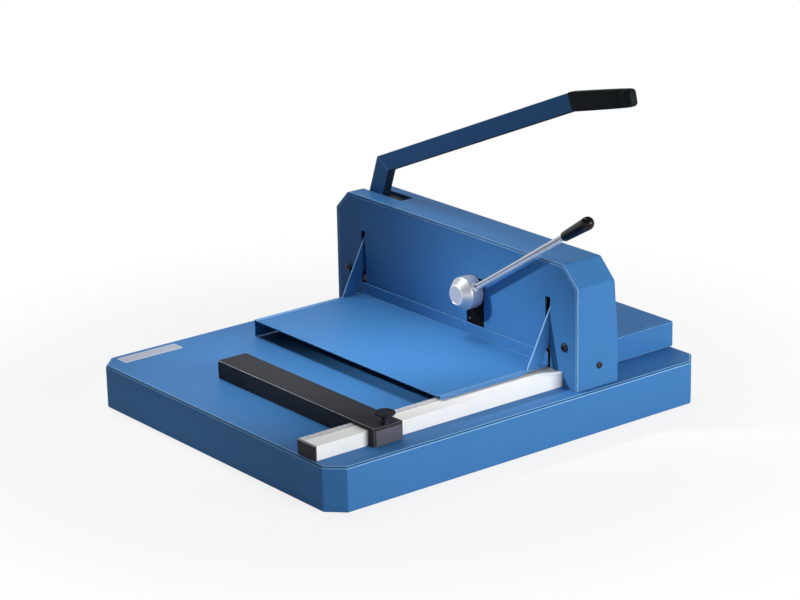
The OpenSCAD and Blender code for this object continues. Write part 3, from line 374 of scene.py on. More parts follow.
def casting(name="casting_enamel", tone=1.0):
    """Enamel on a sand casting, grey, or nearly black at a low tone."""
    f = Finish(name, Specular_IOR_Level=0.4 * tone)
    sand = f.noise(1.1, 5, 0.65, seed=15)
    pits = 1 - f.specks(4.5, seed=16).between(0.05, 0.22)
    low, high, paler = (
        shade(colour, tone) for colour in ((0.042, 0.045, 0.052), (0.062, 0.066, 0.075), (0.2, 0.2, 0.21))
    )
    coat = f.mix(f.noise(40, 3, seed=17), low, high)
    return f.done(
        f.mix(f.edges(0.8) * 0.5, coat, paler), 0.5 + sand * 0.15, sand * 0.7 - pits * 0.3, 0.06
    )


def bearing_bronze():
    f = Finish("bearing_bronze", Metallic=1.0)
    lines = f.noise(0.5, 3, 0.5, (1, 0.05, 1), seed=18)
    oil = f.noise(7, 4, seed=19).between(0.4, 0.7)
    tone = f.mix(oil * 0.6 + lines * 0.2, (0.62, 0.42, 0.17), (0.4, 0.25, 0.1))
    return f.done(tone, 0.28 + oil * 0.15, lines, 0.004)


def milled_nylon():
    f = Finish("milled_nylon", Specular_IOR_Level=0.35)
    lines = f.noise(0.8, 3, 0.5, (0.1, 1, 1), seed=20)
    grain = lines * 0.5 + f.noise(12, 3, seed=21) * 0.5
    return f.done(f.mix(grain, (0.012, 0.012, 0.014), (0.02, 0.02, 0.023)), 0.5 + lines * 0.15, lines, 0.01)


def black_sleeve():
    """Dipped vinyl sleeve: satin black with a very fine pebble."""
    f = Finish("black_sleeve", Specular_IOR_Level=0.05)
    pebble = f.specks(0.9, seed=22)
    touch = f.noise(16, 4, 0.6, seed=23)
    tone = f.mix(touch, (0.006, 0.010, 0.011), (0.011, 0.016, 0.018))
    return f.done(tone, 0.4 + touch * 0.12, pebble, 0.025)


def black_bar():
    """Black anodised bar of the backstop, with drawing lines along X.

    The bright line along its front edge stands in for a highlight in the photograph.
    """
    f = Finish("black_bar", Specular_IOR_Level=0.1)
    lines = f.noise(0.7, 3, 0.5, (0.02, 1, 1), seed=24)
    touch = f.noise(30, 4, 0.6, seed=25)
    black = f.mix(touch, (0.025, 0.027, 0.033), (0.037, 0.04, 0.048))
    front_edge = (f.facing("Y") * -1).between(0.2, 0.4) * f.facing("Z").between(0.2, 0.4)
    # Edges are scuffed pale, and a painted highlight runs along the front edge.
    scuff_and_highlight = f.edges(0.9) * 0.45 + front_edge * (0.85 + f.noise(4, 4, seed=26) * 0.3)
    tone = f.mix(scuff_and_highlight.at_most(1.0), black, (0.82, 0.83, 0.86))
    return f.done(tone, 0.45 + lines * 0.12 + touch * 0.06, lines, 0.006)


def glossy_black():
    """Pressed phenolic resin of the clamp knob."""
    f = Finish("glossy_black", Specular_IOR_Level=0.2)
    haze = f.noise(6, 3, seed=27).between(0.5, 0.8)
    tone = f.mix(haze, (0.006, 0.006, 0.007), (0.012, 0.012, 0.014))
    return f.done(tone, 0.07 + haze * 0.05, f.noise(2.5, 2, seed=28), 0.006)


def moulded_black():
    """Dull moulded plastic of the backstop's thumb knob."""
    f = Finish("moulded_black", Specular_IOR_Level=0.08)
    haze = f.noise(5, 3, seed=39)
    black = f.mix(haze, (0.018, 0.02, 0.026), (0.026, 0.028, 0.035))
    tone = f.mix(f.edges(0.5) * 0.7, black, (0.12, 0.12, 0.13))
    return f.done(tone, 0.36 + haze * 0.1, f.noise(0.7, 3, seed=40), 0.01)


def black_oxide():
    f = Finish("black_oxide", Metallic=0.7, Specular_IOR_Level=0.5)
    mark_mask = (f.edges(0.5) * f.noise(1.5, 3, seed=29)).between(0.35, 0.6)
    tone = f.mix(mark_mask, (0.03, 0.03, 0.034), (0.33, 0.33, 0.34))
    return f.done(tone, 0.36 + f.noise(1.2, 3, seed=30) * 0.15, f.noise(0.8, 3, seed=31), 0.006)


def dull_zinc():
    """Violet-grey plated insert at the end of the backstop."""
    f = Finish("dull_zinc", Metallic=0.4, Specular_IOR_Level=0.5)
    lines = f.noise(0.6, 3, 0.5, (1, 0.03, 1), seed=32)
    tone = f.mix(f.edges(0.6), f.mix(lines, (0.08, 0.08, 0.105), (0.11, 0.11, 0.14)), (0.75, 0.76, 0.8))
    return f.done(tone, 0.42 + lines * 0.12, lines, 0.006)


def red_stick():
    """Plastic cutting stick with the fine marks of the blade."""
    f = Finish("red_stick", Specular_IOR_Level=0.4)
    cuts = f.noise(0.25, 2, 0.5, (0.01, 1, 1), seed=33).between(0.55, 0.75)
    return f.done(f.mix(cuts * 0.5, (0.42, 0.035, 0.028), (0.55, 0.16, 0.13)), 0.42 + cuts * 0.2, cuts, 0.03)


def blank_film():
    """Bare pale film of the label, with a lighter border."""
    f = Finish("blank_film", Specular_IOR_Level=0.4)
    border_width = 2.2
    out = []
    for letter, low, high in zip("XY", *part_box("blank_label")):
        middle, half = (low + high) / 2 / MM, (high - low) / 2 / MM
        out.append((f.axis(letter) - middle).size() - (half - border_width))
    border = out[0].at_least(out[1]).between(-0.15, 0.15)
    field = f.mix(f.noise(18, 3, seed=34), (0.4, 0.44, 0.53), (0.46, 0.5, 0.59))
    tone = f.mix(border, field, (0.58, 0.64, 0.73))
    return f.done(tone, 0.34 + f.noise(9, 3, seed=35) * 0.1, f.noise(4, 2, seed=36), 0.01)


def ink():
    """Etched marks of the ruler."""
    f = Finish("ruler_ink", Specular_IOR_Level=0.3)
    tone = f.mix(f.noise(2, 3, seed=37), (0.1, 0.1, 0.11), (0.2, 0.2, 0.21))
    return f.done(tone, 0.55 + f.noise(1, 2, seed=38) * 0.1)


OILED = (0.068, 0.066, 0.07)
OILED_DARK = (0.044, 0.042, 0.044)
FINISHES = {
    "blue_paint": enamel("blue_enamel"),
    "black_oxide": black_oxide(),
    "machined_steel": steel("machined_steel", (0.5, 0.5, 0.52), 0.26, (1, 0.05, 1)),
    "crank_steel": steel("oiled_crank_steel", OILED, 0.45, (0.05, 1, 0.05), 0.8, OILED_DARK),
    "chrome_steel": polished_chrome(),
    "blade_steel": steel("ground_blade_steel", (0.68, 0.69, 0.71), 0.14, (0.6, 0.6, 0.03), 0.3),
    "cast_iron_grey": casting(),
    "satin_aluminium": turned_aluminium(),
    "white_aluminium": anodised("pale_anodised", (0.99, 0.985, 0.95), (0.94, 0.93, 0.9)),
    "bronze": bearing_bronze(),
    "nylon": milled_nylon(),
    "black_plastic": black_bar(),
    "black_gloss": glossy_black(),
    "stick_plastic": red_stick(),
    "label_plastic": blank_film(),
}
SCALE_STRIP = anodised("ruler_strip", (0.7, 0.7, 0.72), (0.58, 0.58, 0.62))
FOLDED_ENAMEL = enamel("folded_enamel", folds="round")
GUARD_ENAMEL = enamel("guard_enamel", folds="crest", shaded=True)
ARM_ENAMEL = enamel("guard_arm_enamel", shaded=True, highlight_lines=arm_front)
PLATE_ENAMEL = enamel("front_plate_enamel", highlight_lines=plate_rim, tone=plate_tone)
COVER_ENAMEL = enamel("bridge_cover_enamel", highlight_lines=cover_rim)
# The bearing block sits deep in the bridge: its casting is darkened nearly to black, which is painted shade.
SHADE_DARKENED_CASTING = casting("shade_darkened_casting", 0.12)
LEVER_ENAMEL = enamel("lever_enamel", shade(BLUE, 0.74), shaded=True)
# The weld beads are a lighter blue than the body: a painted highlight.
HIGHLIT_WELD = enamel("highlit_weld_enamel", (0.13, 0.32, 0.58))
SLEEVE = black_sleeve()
END_PLATE = dull_zinc()
MOULDED = moulded_black()
INK = ink()
ROD = drawn_rod()
SLOT_SCREW = slot_screw()


# Making pieces


def dress(piece, node, finish=None):
    """Puts a piece with a CAD node: same body, same material slot."""
    piece.data.materials.clear()
    piece.data.materials.append(finish or FINISHES[SLOT_OF[node]])
    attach(piece, BODY_OF[node])


def stand_for(piece, node, finish=None):
    """Shows a piece in the place of its CAD node."""
    dress(piece, node, finish)
    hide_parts(node)


def linked(name, data):
    """A new object of the scene."""
    made = bpy.data.objects.new(name, data)
    bpy.context.scene.collection.objects.link(made)
    return made


def piece_from(name, work, smooth_below=40.0):
    """A new object from a bmesh in millimetres, smooth across folds below an angle."""
    mesh = bpy.data.meshes.new(name)
    bmesh.ops.scale(work, vec=(MM, MM, MM), verts=work.verts)
    work.normal_update()
    for face in work.faces:
        face.smooth = True
    work.to_mesh(mesh)
    work.free()
    mesh.set_sharp_from_angle(angle=math.radians(smooth_below))
    return linked(name, mesh)


def sheet_metal(piece):
    """Gives a skin the sheet's thickness, to the inside."""
    made = piece.modifiers.new("sheet", "SOLIDIFY")
    made.thickness = SHEET * MM
    made.offset = -1
    made.use_even_offset = True
    made.use_quality_normals = True
    return piece


def evenly_shaded(piece):
    piece.modifiers.new("even_shading", "WEIGHTED_NORMAL").keep_sharp = True
    return piece


def broken_edges(piece, width, above=40.0):
    """Rounds every edge sharper than an angle by `width` millimetres."""
    made = piece.modifiers.new("broken_edges", "BEVEL")
    made.width = width * MM
    made.segments = 2
    made.limit_method = "ANGLE"
    made.angle_limit = math.radians(above)
    made.use_clamp_overlap = True
    made.miter_outer = "MITER_SHARP"
    return evenly_shaded(piece)


def softened(node, width, finish=None):
    """The CAD solid with its flats joined and its edges broken."""
    work = bmesh.new()
    work.from_mesh(frame["nodes"][node].data)
    bmesh.ops.scale(work, vec=(1 / MM,) * 3, verts=work.verts)
    bmesh.ops.remove_doubles(work, verts=work.verts, dist=0.002)
    bmesh.ops.dissolve_limit(
        work, angle_limit=math.radians(0.4), verts=work.verts, edges=work.edges, delimit={"NORMAL"}
    )
    stand_for(broken_edges(piece_from(node + "_piece", work), width), node, finish)


def add_work(work, other):
    """Joins another bmesh into this one."""
    spare = bpy.data.meshes.new("spare")
    other.to_mesh(spare)
    other.free()
    work.from_mesh(spare)
    bpy.data.meshes.remove(spare)


def dots(work, points):
    """A vertex at each point, in order."""
    return [work.verts.new(point) for point in points]


def band(work, low, high):
    """Faces from one closed ring of vertices to the next; a ring may be a single vertex."""
    for i in range(max(len(low), len(high))):
        j = i + 1
        corners = (low[i % len(low)], low[j % len(low)], high[j % len(high)], high[i % len(high)])
        work.faces.new(tuple(dict.fromkeys(corners)))


def tube(work, rings):
    """A skin over rings of vertices, closed at both ends, with its faces turned out."""
    for low, high in zip(rings, rings[1:]):
        band(work, low, high)
    work.faces.new(rings[-1])
    work.faces.new(rings[0][::-1])
    bmesh.ops.recalc_face_normals(work, faces=work.faces)


def face_out(work, centre):
    """Turns the faces of an open skin away from a point inside."""
    bmesh.ops.recalc_face_normals(work, faces=work.faces)
    largest = max(work.faces, key=lambda face: face.calc_area())
    if largest.normal.dot(largest.calc_center_median() - Vector(centre)) < 0:
        bmesh.ops.reverse_faces(work, faces=work.faces)


def fold(work, edges, radius):
    """Rounds the folds of a sheet, as far as the edges beside them leave room."""
    bmesh.ops.bevel(
        work, geom=edges, offset=radius, offset_type="OFFSET", segments=4, profile=0.5,
        affect="EDGES", clamp_overlap=True,
    )


def fill_flat(work, loops):
    """Fills a flat face with holes: loops are lists of vertices, the outer one first."""
    pairs = [pair for loop in loops for pair in zip(loop, loop[1:] + loop[:1])]
    edges = [work.edges.get(pair) or work.edges.new(pair) for pair in pairs]
    made = bmesh.ops.triangle_fill(work, use_beauty=True, use_dissolve=False, edges=edges)
    faces = [g for g in made["geom"] if isinstance(g, bmesh.types.BMFace)]
    shared = dict.fromkeys(e for f in faces for e in f.edges if len(e.link_faces) == 2)
    bmesh.ops.dissolve_limit(work, angle_limit=math.radians(0.2), verts=[], edges=list(shared))


def arc(centre, radius, start, end, steps):
    """Points of an arc in a plane, angles in degrees."""
    angles = [math.radians(start + (end - start) * i / steps) for i in range(steps + 1)]
    return [(centre[0] + radius * math.cos(a), centre[1] + radius * math.sin(a)) for a in angles]


def circle(centre, radius, steps):
    return arc(centre, radius, 0, 360, steps)[:-1]


def rounded(points, radii, steps=4):
    """A closed outline with its corners rounded; radii is one number or one for each corner."""
    count = len(points)
    if not isinstance(radii, (list, tuple)):
        radii = [radii] * count
    out = []
    for i, radius in enumerate(radii):
        before, here, after = (Vector(points[k % count]) for k in (i - 1, i, i + 1))
        u, w = (before - here).normalized(), (after - here).normalized()
        half = math.acos(max(-1.0, min(1.0, u.dot(w)))) / 2
        if radius <= 0 or half > math.radians(89):
            out.append(tuple(here))
            continue
        middle = here + (u + w).normalized() * (radius / math.sin(half))
        start, end = (here + side * (radius / math.tan(half)) - middle for side in (u, w))
        first = math.atan2(start.y, start.x)
        swing = (math.atan2(end.y, end.x) - first + 3 * math.pi) % (2 * math.pi) - math.pi
        out += arc(middle, radius, math.degrees(first), math.degrees(first + swing), steps)
    return out


def squared_to(centre, axis, along, outline):
    """Points of a flat outline that lies square to an axis, `along` it from the centre."""
    axis = Vector(axis).normalized()
    side = axis.orthogonal().normalized()
    other = axis.cross(side)
    return [Vector(centre) + axis * along + side * x + other * y for x, y in outline]


def turned(profile, centre, axis, steps=64):
    """A lathe-turned bmesh: profile is (radius, distance along the axis) in millimetres."""
    work = bmesh.new()
    rings = []
    for radius, along in profile:
        outline = circle((0, 0), radius, steps) if radius > 0 else [(0, 0)]
        rings.append(dots(work, squared_to(centre, axis, along, outline)))
    for low, high in zip(rings, rings[1:]):
        band(work, low, high)
    bmesh.ops.recalc_face_normals(work, faces=work.faces)
    return work


def bead_along(points, radius, ripple=0.12):
    """A weld bead: a tube with a slight ripple, thinner towards both ends."""
    work = bmesh.new()
    points = [Vector(point) for point in points]
    last = len(points) - 1
    rings = []
    for i, here in enumerate(points):
        ahead = points[min(i + 1, last)] - points[max(i - 1, 0)]
        fade = min(1.0, 0.35 + 0.65 * min(i, last - i) / 2)
        r = radius * fade * (1 + ripple * math.sin(i * 2.4))
        rings.append(dots(work, squared_to(here, ahead, 0, circle((0, 0), r, 8))))
    tube(work, rings)
    return work


# Base

BASE_W, BASE_D, BASE_CORNER = 596.0, 698.0, 25.0
FOLD, UPRIGHT_EDGE = 4.0, 3.0
FOOT_FOLD, FLANGE_W = 2.5, 18.0
STICK_Y, STICK_HALF_L, STICK_HALF_W = 122.0, 229.0, 6.0
UPRIGHT_BOLTS = [(side * 259.8, y) for side in (-1, 1) for y in (118.0, 141.0)]
UPRIGHT_BOLT_HOLE = 4.5
SIDE_LAY_SCREWS = [(232.8, y) for y in (-302.0, -162.0, -22.0)]
SIDE_LAY_SCREW_HOLE = 2.7
LABEL_CORNER = 2.5


def base_outline(inset):
    """Plan of the base, inside its walls by an inset."""
    w, d = BASE_W / 2 - inset, BASE_D / 2 - inset
    c = BASE_CORNER - inset * (2 - math.sqrt(2))
    right = [(w - c, -d), (w, -d + c), (w, d - c), (w - c, d)]
    left = [(-x, y) for x, y in right[::-1]]
    return rounded(right + left, max(UPRIGHT_EDGE - inset, 0.4), 3)


def folded_base():
    """The housing: folded walls, a rounded fold round the table, a flange below, the stick's slot."""
    work = bmesh.new()
    steps = [(FLANGE_W, 0.0)]
    steps += arc((FOOT_FOLD, FOOT_FOLD), FOOT_FOLD, 270, 180, 3)
    steps += arc((FOLD, TABLE - FOLD), FOLD, 180, 90, 6)
    rings = [dots(work, [(x, y, z) for x, y in base_outline(inset)]) for inset, z in steps]
    for low, high in zip(rings, rings[1:]):
        band(work, low, high)
    slot = ((-1, -1), (1, -1), (1, 1), (-1, 1))
    holes = [[(x * STICK_HALF_L, STICK_Y + y * STICK_HALF_W) for x, y in slot]]
    holes += [circle(place, UPRIGHT_BOLT_HOLE, 16) for place in UPRIGHT_BOLTS]
    holes += [circle(place, SIDE_LAY_SCREW_HOLE, 16) for place in SIDE_LAY_SCREWS]
    fill_flat(work, [rings[-1]] + [dots(work, [(x, y, TABLE) for x, y in hole]) for hole in holes])
    face_out(work, (0, 0, TABLE / 2))
    piece = evenly_shaded(sheet_metal(piece_from("folded_base", work, 32)))
    stand_for(piece, "base_housing", FOLDED_ENAMEL)


def label_plate():
    (x0, y0, z0), (x1, y1, z1) = (tuple(v / MM for v in corner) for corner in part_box("blank_label"))
    work = bmesh.new()
    outline = rounded([(x0, y0), (x1, y0), (x1, y1), (x0, y1)], LABEL_CORNER, 5)
    tube(work, [dots(work, [(x, y, z) for x, y in outline]) for z in (z0, z1)])
    stand_for(broken_edges(piece_from("label_plate", work, 30), 0.12), "blank_label")


# Bridge

LEAN, LEAN_H = 6.5, 67.0
KNEE_H = BRIDGE_H - BRIDGE_CORNER
COVER_GAP, BACK_FOLD = 0.6, 3.0
THROAT_X, THROAT_H = 227.0, 36.0
LEVER_SLOT_Y, LEVER_SLOT_RIGHT, LEVER_SLOT_FOOT = (135.2, 160.2), -160.0, 149.0


def split(line, k, value, left_only=False):
    """An outline with a point added wherever its coordinate k, 0 or 1, passes a value."""
    out = [line[0]]
    for a, b in zip(line, line[1:]):
        low, high = sorted((a[k], b[k]))
        if low + 1e-6 < value < high - 1e-6 and not (left_only and a[0] > 0):
            t = (value - a[k]) / (b[k] - a[k])
            out.append((a[0] + t * (b[0] - a[0]), a[1] + t * (b[1] - a[1])))
        out.append(b)
    return out


def cover_outline():
    """Front view of the cover, from its right foot over the top to its left foot."""
    x, c = BRIDGE_W / 2, BRIDGE_CORNER
    right = [(x, COVER_GAP), (x, KNEE_H), (x - c, BRIDGE_H)]
    left = [(-x, h) for x, h in right[::-1]]
    line = rounded(right + left, [0, BEND, BEND, BEND, BEND, 0], 6)
    line = split(split(line, 1, LEAN_H), 1, KNEE_H)
    return split(split(line, 1, LEVER_SLOT_FOOT, left_only=True), 0, LEVER_SLOT_RIGHT)


def cover_back(h):
    """Where the back of the cover is at a height above the table."""
    return BRIDGE_BACK - LEAN * max(0.0, min(1.0, (h - LEAN_H) / (KNEE_H - LEAN_H)))


def bridge_cover():
    """One sheet over both sides, the top and the back, with the slot of the blade lever."""
    line = cover_outline()
    work = bmesh.new()
    rows = [
        dots(work, [(x, y, TABLE + h) for y in (COVER_FRONT, *LEVER_SLOT_Y, cover_back(h))]) for x, h in line
    ]
    for (xa, ha), (xb, hb), row_a, row_b in zip(line, line[1:], rows, rows[1:]):
        in_slot = (xa + xb) / 2 < LEVER_SLOT_RIGHT and (ha + hb) / 2 > LEVER_SLOT_FOOT
        for k in (0, 2) if in_slot else (0, 1, 2):
            work.faces.new((row_a[k], row_a[k + 1], row_b[k + 1], row_b[k]))
    back = [row[-1] for row in rows]

    def at(height):
        return [i for i, (_, h) in enumerate(line) if abs(h - height) < 1e-4]

    (right_lean, left_lean), (right_knee, left_knee) = at(LEAN_H), at(KNEE_H)
    throat = [(-THROAT_X, COVER_GAP), (-THROAT_X, THROAT_H), (THROAT_X, THROAT_H), (THROAT_X, COVER_GAP)]
    throat = dots(work, [(x, BRIDGE_BACK, TABLE + h) for x, h in throat])
    work.faces.new(back[left_lean:] + throat + back[:right_lean + 1])
    work.faces.new(back[right_lean:right_knee + 1] + back[left_knee:left_lean + 1])
    work.faces.new(back[right_knee:left_knee + 1])
    face_out(work, (0, (COVER_FRONT + BRIDGE_BACK) / 2, TABLE + BRIDGE_H / 2))
    fold(work, [work.edges.get(pair) for pair in zip(back, back[1:])], BACK_FOLD)
    piece = broken_edges(sheet_metal(piece_from("bridge_cover_sheet", work)), 0.4, 55)
    stand_for(piece, "bridge_cover", COVER_ENAMEL)


# Guard

GUARD_X, GUARD_FRONT, GUARD_H, GUARD_TOP = 228.5, -103.5, 28.0, 46.0
NOTCH_X, NOTCH_Y, UPSTAND_Y, GUARD_FOLD = 223.8, 99.2, 103.2, 2.4
GUARD_FLANGE_END, LEFT_FLANGE_H, RIGHT_FLANGE_H = 55.0, 1.2, 23.2
ARM_X, ARM_T, ARM_W, ARM_A = 222.8, 2.5, 22.3, 62.6
GUARD_PIVOT, PIVOT_HOLE = (120.0, 113.0), 4.05
OUTER_BEAD, INNER_BEAD = 0.7, 0.9


def guard_sheet():
    """Panel, upstand and side flanges as one folded sheet."""
    work = bmesh.new()
    sides = []
    for s, flange_h in ((-1, LEFT_FLANGE_H), (1, RIGHT_FLANGE_H)):
        panel = [(GUARD_X, GUARD_FRONT), (GUARD_X, GUARD_FLANGE_END), (GUARD_X, NOTCH_Y),
                 (NOTCH_X, NOTCH_Y), (NOTCH_X, UPSTAND_Y)]
        side = dots(work, [(s * x, y, TABLE + GUARD_H) for x, y in panel])
        crest, *foot = dots(work, [
            (s * NOTCH_X, UPSTAND_Y, TABLE + GUARD_TOP), (s * GUARD_X, GUARD_FLANGE_END, TABLE + flange_h),
            (s * GUARD_X, GUARD_FRONT, TABLE + flange_h),
        ])
        work.faces.new((side[0], side[1], *foot))
        sides.append((side, crest))
    (left, left_crest), (right, right_crest) = sides
    work.faces.new(right + left[::-1])
    work.faces.new((left[-1], right[-1], right_crest, left_crest))
    face_out(work, (0, 0, TABLE))
    fold(work, [e for e in work.edges if len(e.link_faces) == 2], GUARD_FOLD)
    piece = broken_edges(sheet_metal(piece_from("guard_sheet", work)), 0.35, 55)
    stand_for(piece, "guard", GUARD_ENAMEL)


def arm_outline():
    """Side view of an arm, as (y, height): a straight strip with a round end at the pivot."""
    a = math.radians(ARM_A)
    n = Vector((math.sin(a), -math.cos(a))) * ARM_W / 2
    t = Vector((math.cos(a), math.sin(a)))
    sunk = 0.5
    foot_h = GUARD_H - sunk
    pivot = Vector(GUARD_PIVOT)
    front, rear = (edge - t * (edge.y - foot_h) / t.y for edge in (pivot - n, pivot + n))
    angle = math.degrees(math.atan2(-n.y, -n.x))
    return [tuple(front)] + arc(GUARD_PIVOT, ARM_W / 2, angle, angle - 180, 16) + [tuple(rear)]


def guard_arms():
    work = bmesh.new()
    hole = circle(GUARD_PIVOT, PIVOT_HOLE, 20)
    for s in (-1, 1):
        loops = [
            [dots(work, [(x, y, TABLE + h) for y, h in line]) for line in (arm_outline(), hole)]
            for x in sorted((s * ARM_X, s * (ARM_X + ARM_T)))
        ]
        for side in loops:
            fill_flat(work, side)
        for near, far in zip(*loops):
            band(work, near, far)
    bmesh.ops.recalc_face_normals(work, faces=work.faces)
    dress(broken_edges(piece_from("guard_arms", work), 0.5, 45), "guard", ARM_ENAMEL)


def guard_welds():
    """Weld beads where the arms stand on the panel, and a tack up the front of each foot."""
    work = bmesh.new()
    outline = arm_outline()
    front_y, rear_y = outline[0][0] + 1, outline[-1][0] - 1
    lean = 1 / math.tan(math.radians(ARM_A))
    steps = 24
    for s in (-1, 1):
        for x, radius in ((s * ARM_X, INNER_BEAD), (s * (ARM_X + ARM_T), OUTER_BEAD)):
            line = [(x, front_y + (rear_y - front_y) * i / steps, TABLE + GUARD_H) for i in range(steps + 1)]
            add_work(work, bead_along(line, radius))
        x = s * (ARM_X - 0.2)
        tack = [(x, front_y + lean * rise, TABLE + GUARD_H + rise) for rise in range(6, 15)]
        add_work(work, bead_along(tack, INNER_BEAD))
    dress(piece_from("guard_welds", work, 60), "guard", HIGHLIT_WELD)


# Blade lever

LEVER_PIVOT, LEVER_Y = (-248.7, 120.0), (136.5, 151.5)
BAR_TILT, BAR_OFFSET, BAR_W, BAR_REACH = 22.4, 79.0, 28.0, 565.0
RISER_TILT, RISER_W = 70.0, 34.0
GRIP_L, GRIP_BEND, GRIP_SAG = 129.0, 9.0, 0.009


def lever_point(u, v, y):
    """A point of the lever's own frame: u along the bar, v square to it."""
    a = math.radians(BAR_TILT)
    return Vector((
        LEVER_PIVOT[0] + u * math.cos(a) - v * math.sin(a), y,
        TABLE + LEVER_PIVOT[1] + u * math.sin(a) + v * math.cos(a),
    ))


def mitre_weld():
    """Ground-down weld along the mitre of the lever, front and rear."""
    bend = math.radians(RISER_TILT - BAR_TILT)
    half = RISER_W / 2 / math.sin(bend)
    top_u, foot_u = (BAR_OFFSET + BAR_W) / math.tan(bend) - half, BAR_OFFSET / math.tan(bend) + half
    work = bmesh.new()
    steps = 30
    for y in LEVER_Y:
        top = lever_point(top_u + 3, BAR_OFFSET + BAR_W - 2.5, y)
        foot = lever_point(foot_u - 1, BAR_OFFSET + 1.5, y)
        add_work(work, bead_along([top.lerp(foot, i / steps) for i in range(steps + 1)], 0.55, 0.08))
    dress(piece_from("mitre_weld", work, 60), "blade_lever_arm", HIGHLIT_WELD)


def grip_sleeve():
    """Rounded sleeve over the end of the bar, bent down a little, with a raised end cap."""
    work = bmesh.new()
    turn = math.radians(-GRIP_BEND)
    y_mid = sum(LEVER_Y) / 2
    start = Vector((BAR_REACH + 0.2, BAR_OFFSET + BAR_W / 2))
    along = Vector((math.cos(turn), math.sin(turn)))
    across = Vector((-math.sin(turn), math.cos(turn)))
    end = GRIP_L - 2.0
    # Each station: distance along the grip, half height, half depth, corner radius
    stations = [
        (-1.4, 14.5, 8.4, 4.0), (2, 14.6, 8.5, 4.2), (40, 14.4, 8.5, 4.6), (80, 14.0, 8.5, 4.8),
        (105, 13.6, 8.5, 5), (107, 13.3, 8.2, 5), (108.6, 13.3, 8.2, 5), (110.4, 13.5, 8.5, 5),
        (end - 8, 13.1, 8.4, 5), (end - 4.5, 12.7, 8.1, 5), (end - 2, 11.7, 7.2, 4.6),
        (end - 0.6, 10.0, 5.7, 3.8), (end, 7.6, 3.8, 2.6),
    ]
    rings = []
    for s, half_v, half_y, radius in stations:
        middle = start + along * s - across * (s * GRIP_SAG)
        lean = min(1.0, max(0.0, (s + 1.4) / 8))
        up = across * lean + Vector((0, 1)) * (1 - lean)
        corners = [(-half_y, -half_v), (half_y, -half_v), (half_y, half_v), (-half_y, half_v)]
        ring = []
        for y, v in rounded(corners, radius, 5):
            plane = middle + up * v
            if lean < 1.0:
                plane.x = min(plane.x, middle.x + 3)
            ring.append(lever_point(plane.x, plane.y, y_mid + y))
        rings.append(dots(work, ring))
    tube(work, rings)
    stand_for(piece_from("grip_sleeve", work, 50), "lever_grip", SLEEVE)


# Clamp lever

ROD_TILT, ROD_R, ROD_REACH = 32.1, 5.0, 259.0
KNOB_L, KNOB_FOOT, KNOB_END, KNOB_BORE = 68.0, 7.6, 10.0, 24.0
ROD_DIR = Vector((math.cos(math.radians(ROD_TILT)), 0, math.sin(math.radians(ROD_TILT))))
ROD_START = Vector((HUB_X, HUB_BACK - 10, HUB_Z))


def clamp_hub():
    """Bored at the back, with a bevel and a face that has a raised rim."""
    ridge = HUB_L - HUB_BEVEL
    profile = [
        (0.0, 6.0), (8.0, 6.0), (8.0, 0.6), (8.6, 0.0), (HUB_R - 1.6, 0.0), (HUB_R - 0.5, 0.4), (HUB_R, 1.5),
        (HUB_R, ridge - 1.2), (HUB_R - 0.15, ridge - 0.5), (HUB_R - 0.6, ridge + 0.3),
        (HUB_FACE + 1.0, HUB_L - 0.9), (HUB_FACE + 0.4, HUB_L - 0.35), (HUB_FACE - 0.2, HUB_L - 0.05),
        (HUB_FACE - 0.9, HUB_L - 0.02), (HUB_FACE - 1.3, HUB_L - 0.3), (HUB_FACE - 6, HUB_L - 0.38),
        (0.0, HUB_L - 0.4),
    ]
    work = turned(profile, (HUB_X, HUB_BACK, HUB_Z), (0, -1, 0), 96)
    stand_for(piece_from("clamp_hub_turned", work, 28), "clamp_hub")


def clamp_rod():
    """Plain rod with a small hexagon nut against the hub."""
    start, end = HUB_R - 9, ROD_REACH + KNOB_BORE
    work = turned([(0, start), (ROD_R, start), (ROD_R, end), (0, end)], ROD_START, ROD_DIR, 40)
    half_nut = [(0, -2.25), (6.7, -2.25), (7.8, -1.65)]
    middle = HUB_R + 1.25
    nut = [(r, middle + a) for r, a in half_nut] + [(r, middle - a) for r, a in half_nut[::-1]]
    add_work(work, turned(nut, ROD_START, ROD_DIR, 6))
    stand_for(broken_edges(piece_from("clamp_rod_drawn", work, 35), 0.25, 35), "clamp_rod", ROD)


def clamp_knob():
    """Tapered knob with a round end, bored for the rod."""
    bore, end = ROD_R + 0.05, KNOB_L - KNOB_END
    profile = [
        (bore, KNOB_BORE), (bore, 0.3), (ROD_R + 0.4, 0.0), (KNOB_FOOT - 1.4, 0.0), (KNOB_FOOT - 0.5, 0.3),
        (KNOB_FOOT - 0.1, 1.2),
    ]
    taper = (0.02, 0.3, 0.6, 0.9)
    profile += [(KNOB_FOOT + (KNOB_END - KNOB_FOOT) * t, 1.6 + (end - 1.6) * t) for t in taper]
    profile += arc((0, end), KNOB_END, 0, 88, 11) + [(0.0, end + KNOB_END)]
    work = turned(profile, ROD_START + ROD_DIR * ROD_REACH, ROD_DIR)
    stand_for(piece_from("clamp_knob_pressed", work, 50), "clamp_knob")


# Side lay and backstop

STRIP_X1, STRIP_TOP = 225.6, 22.1
NUMBER_FOOT_X, NUMBER_SIZE = 217.8, 3.4
CUT_Y = 120.5
THUMB = (259.7, -227.5)
STOP_TOP = 28.0


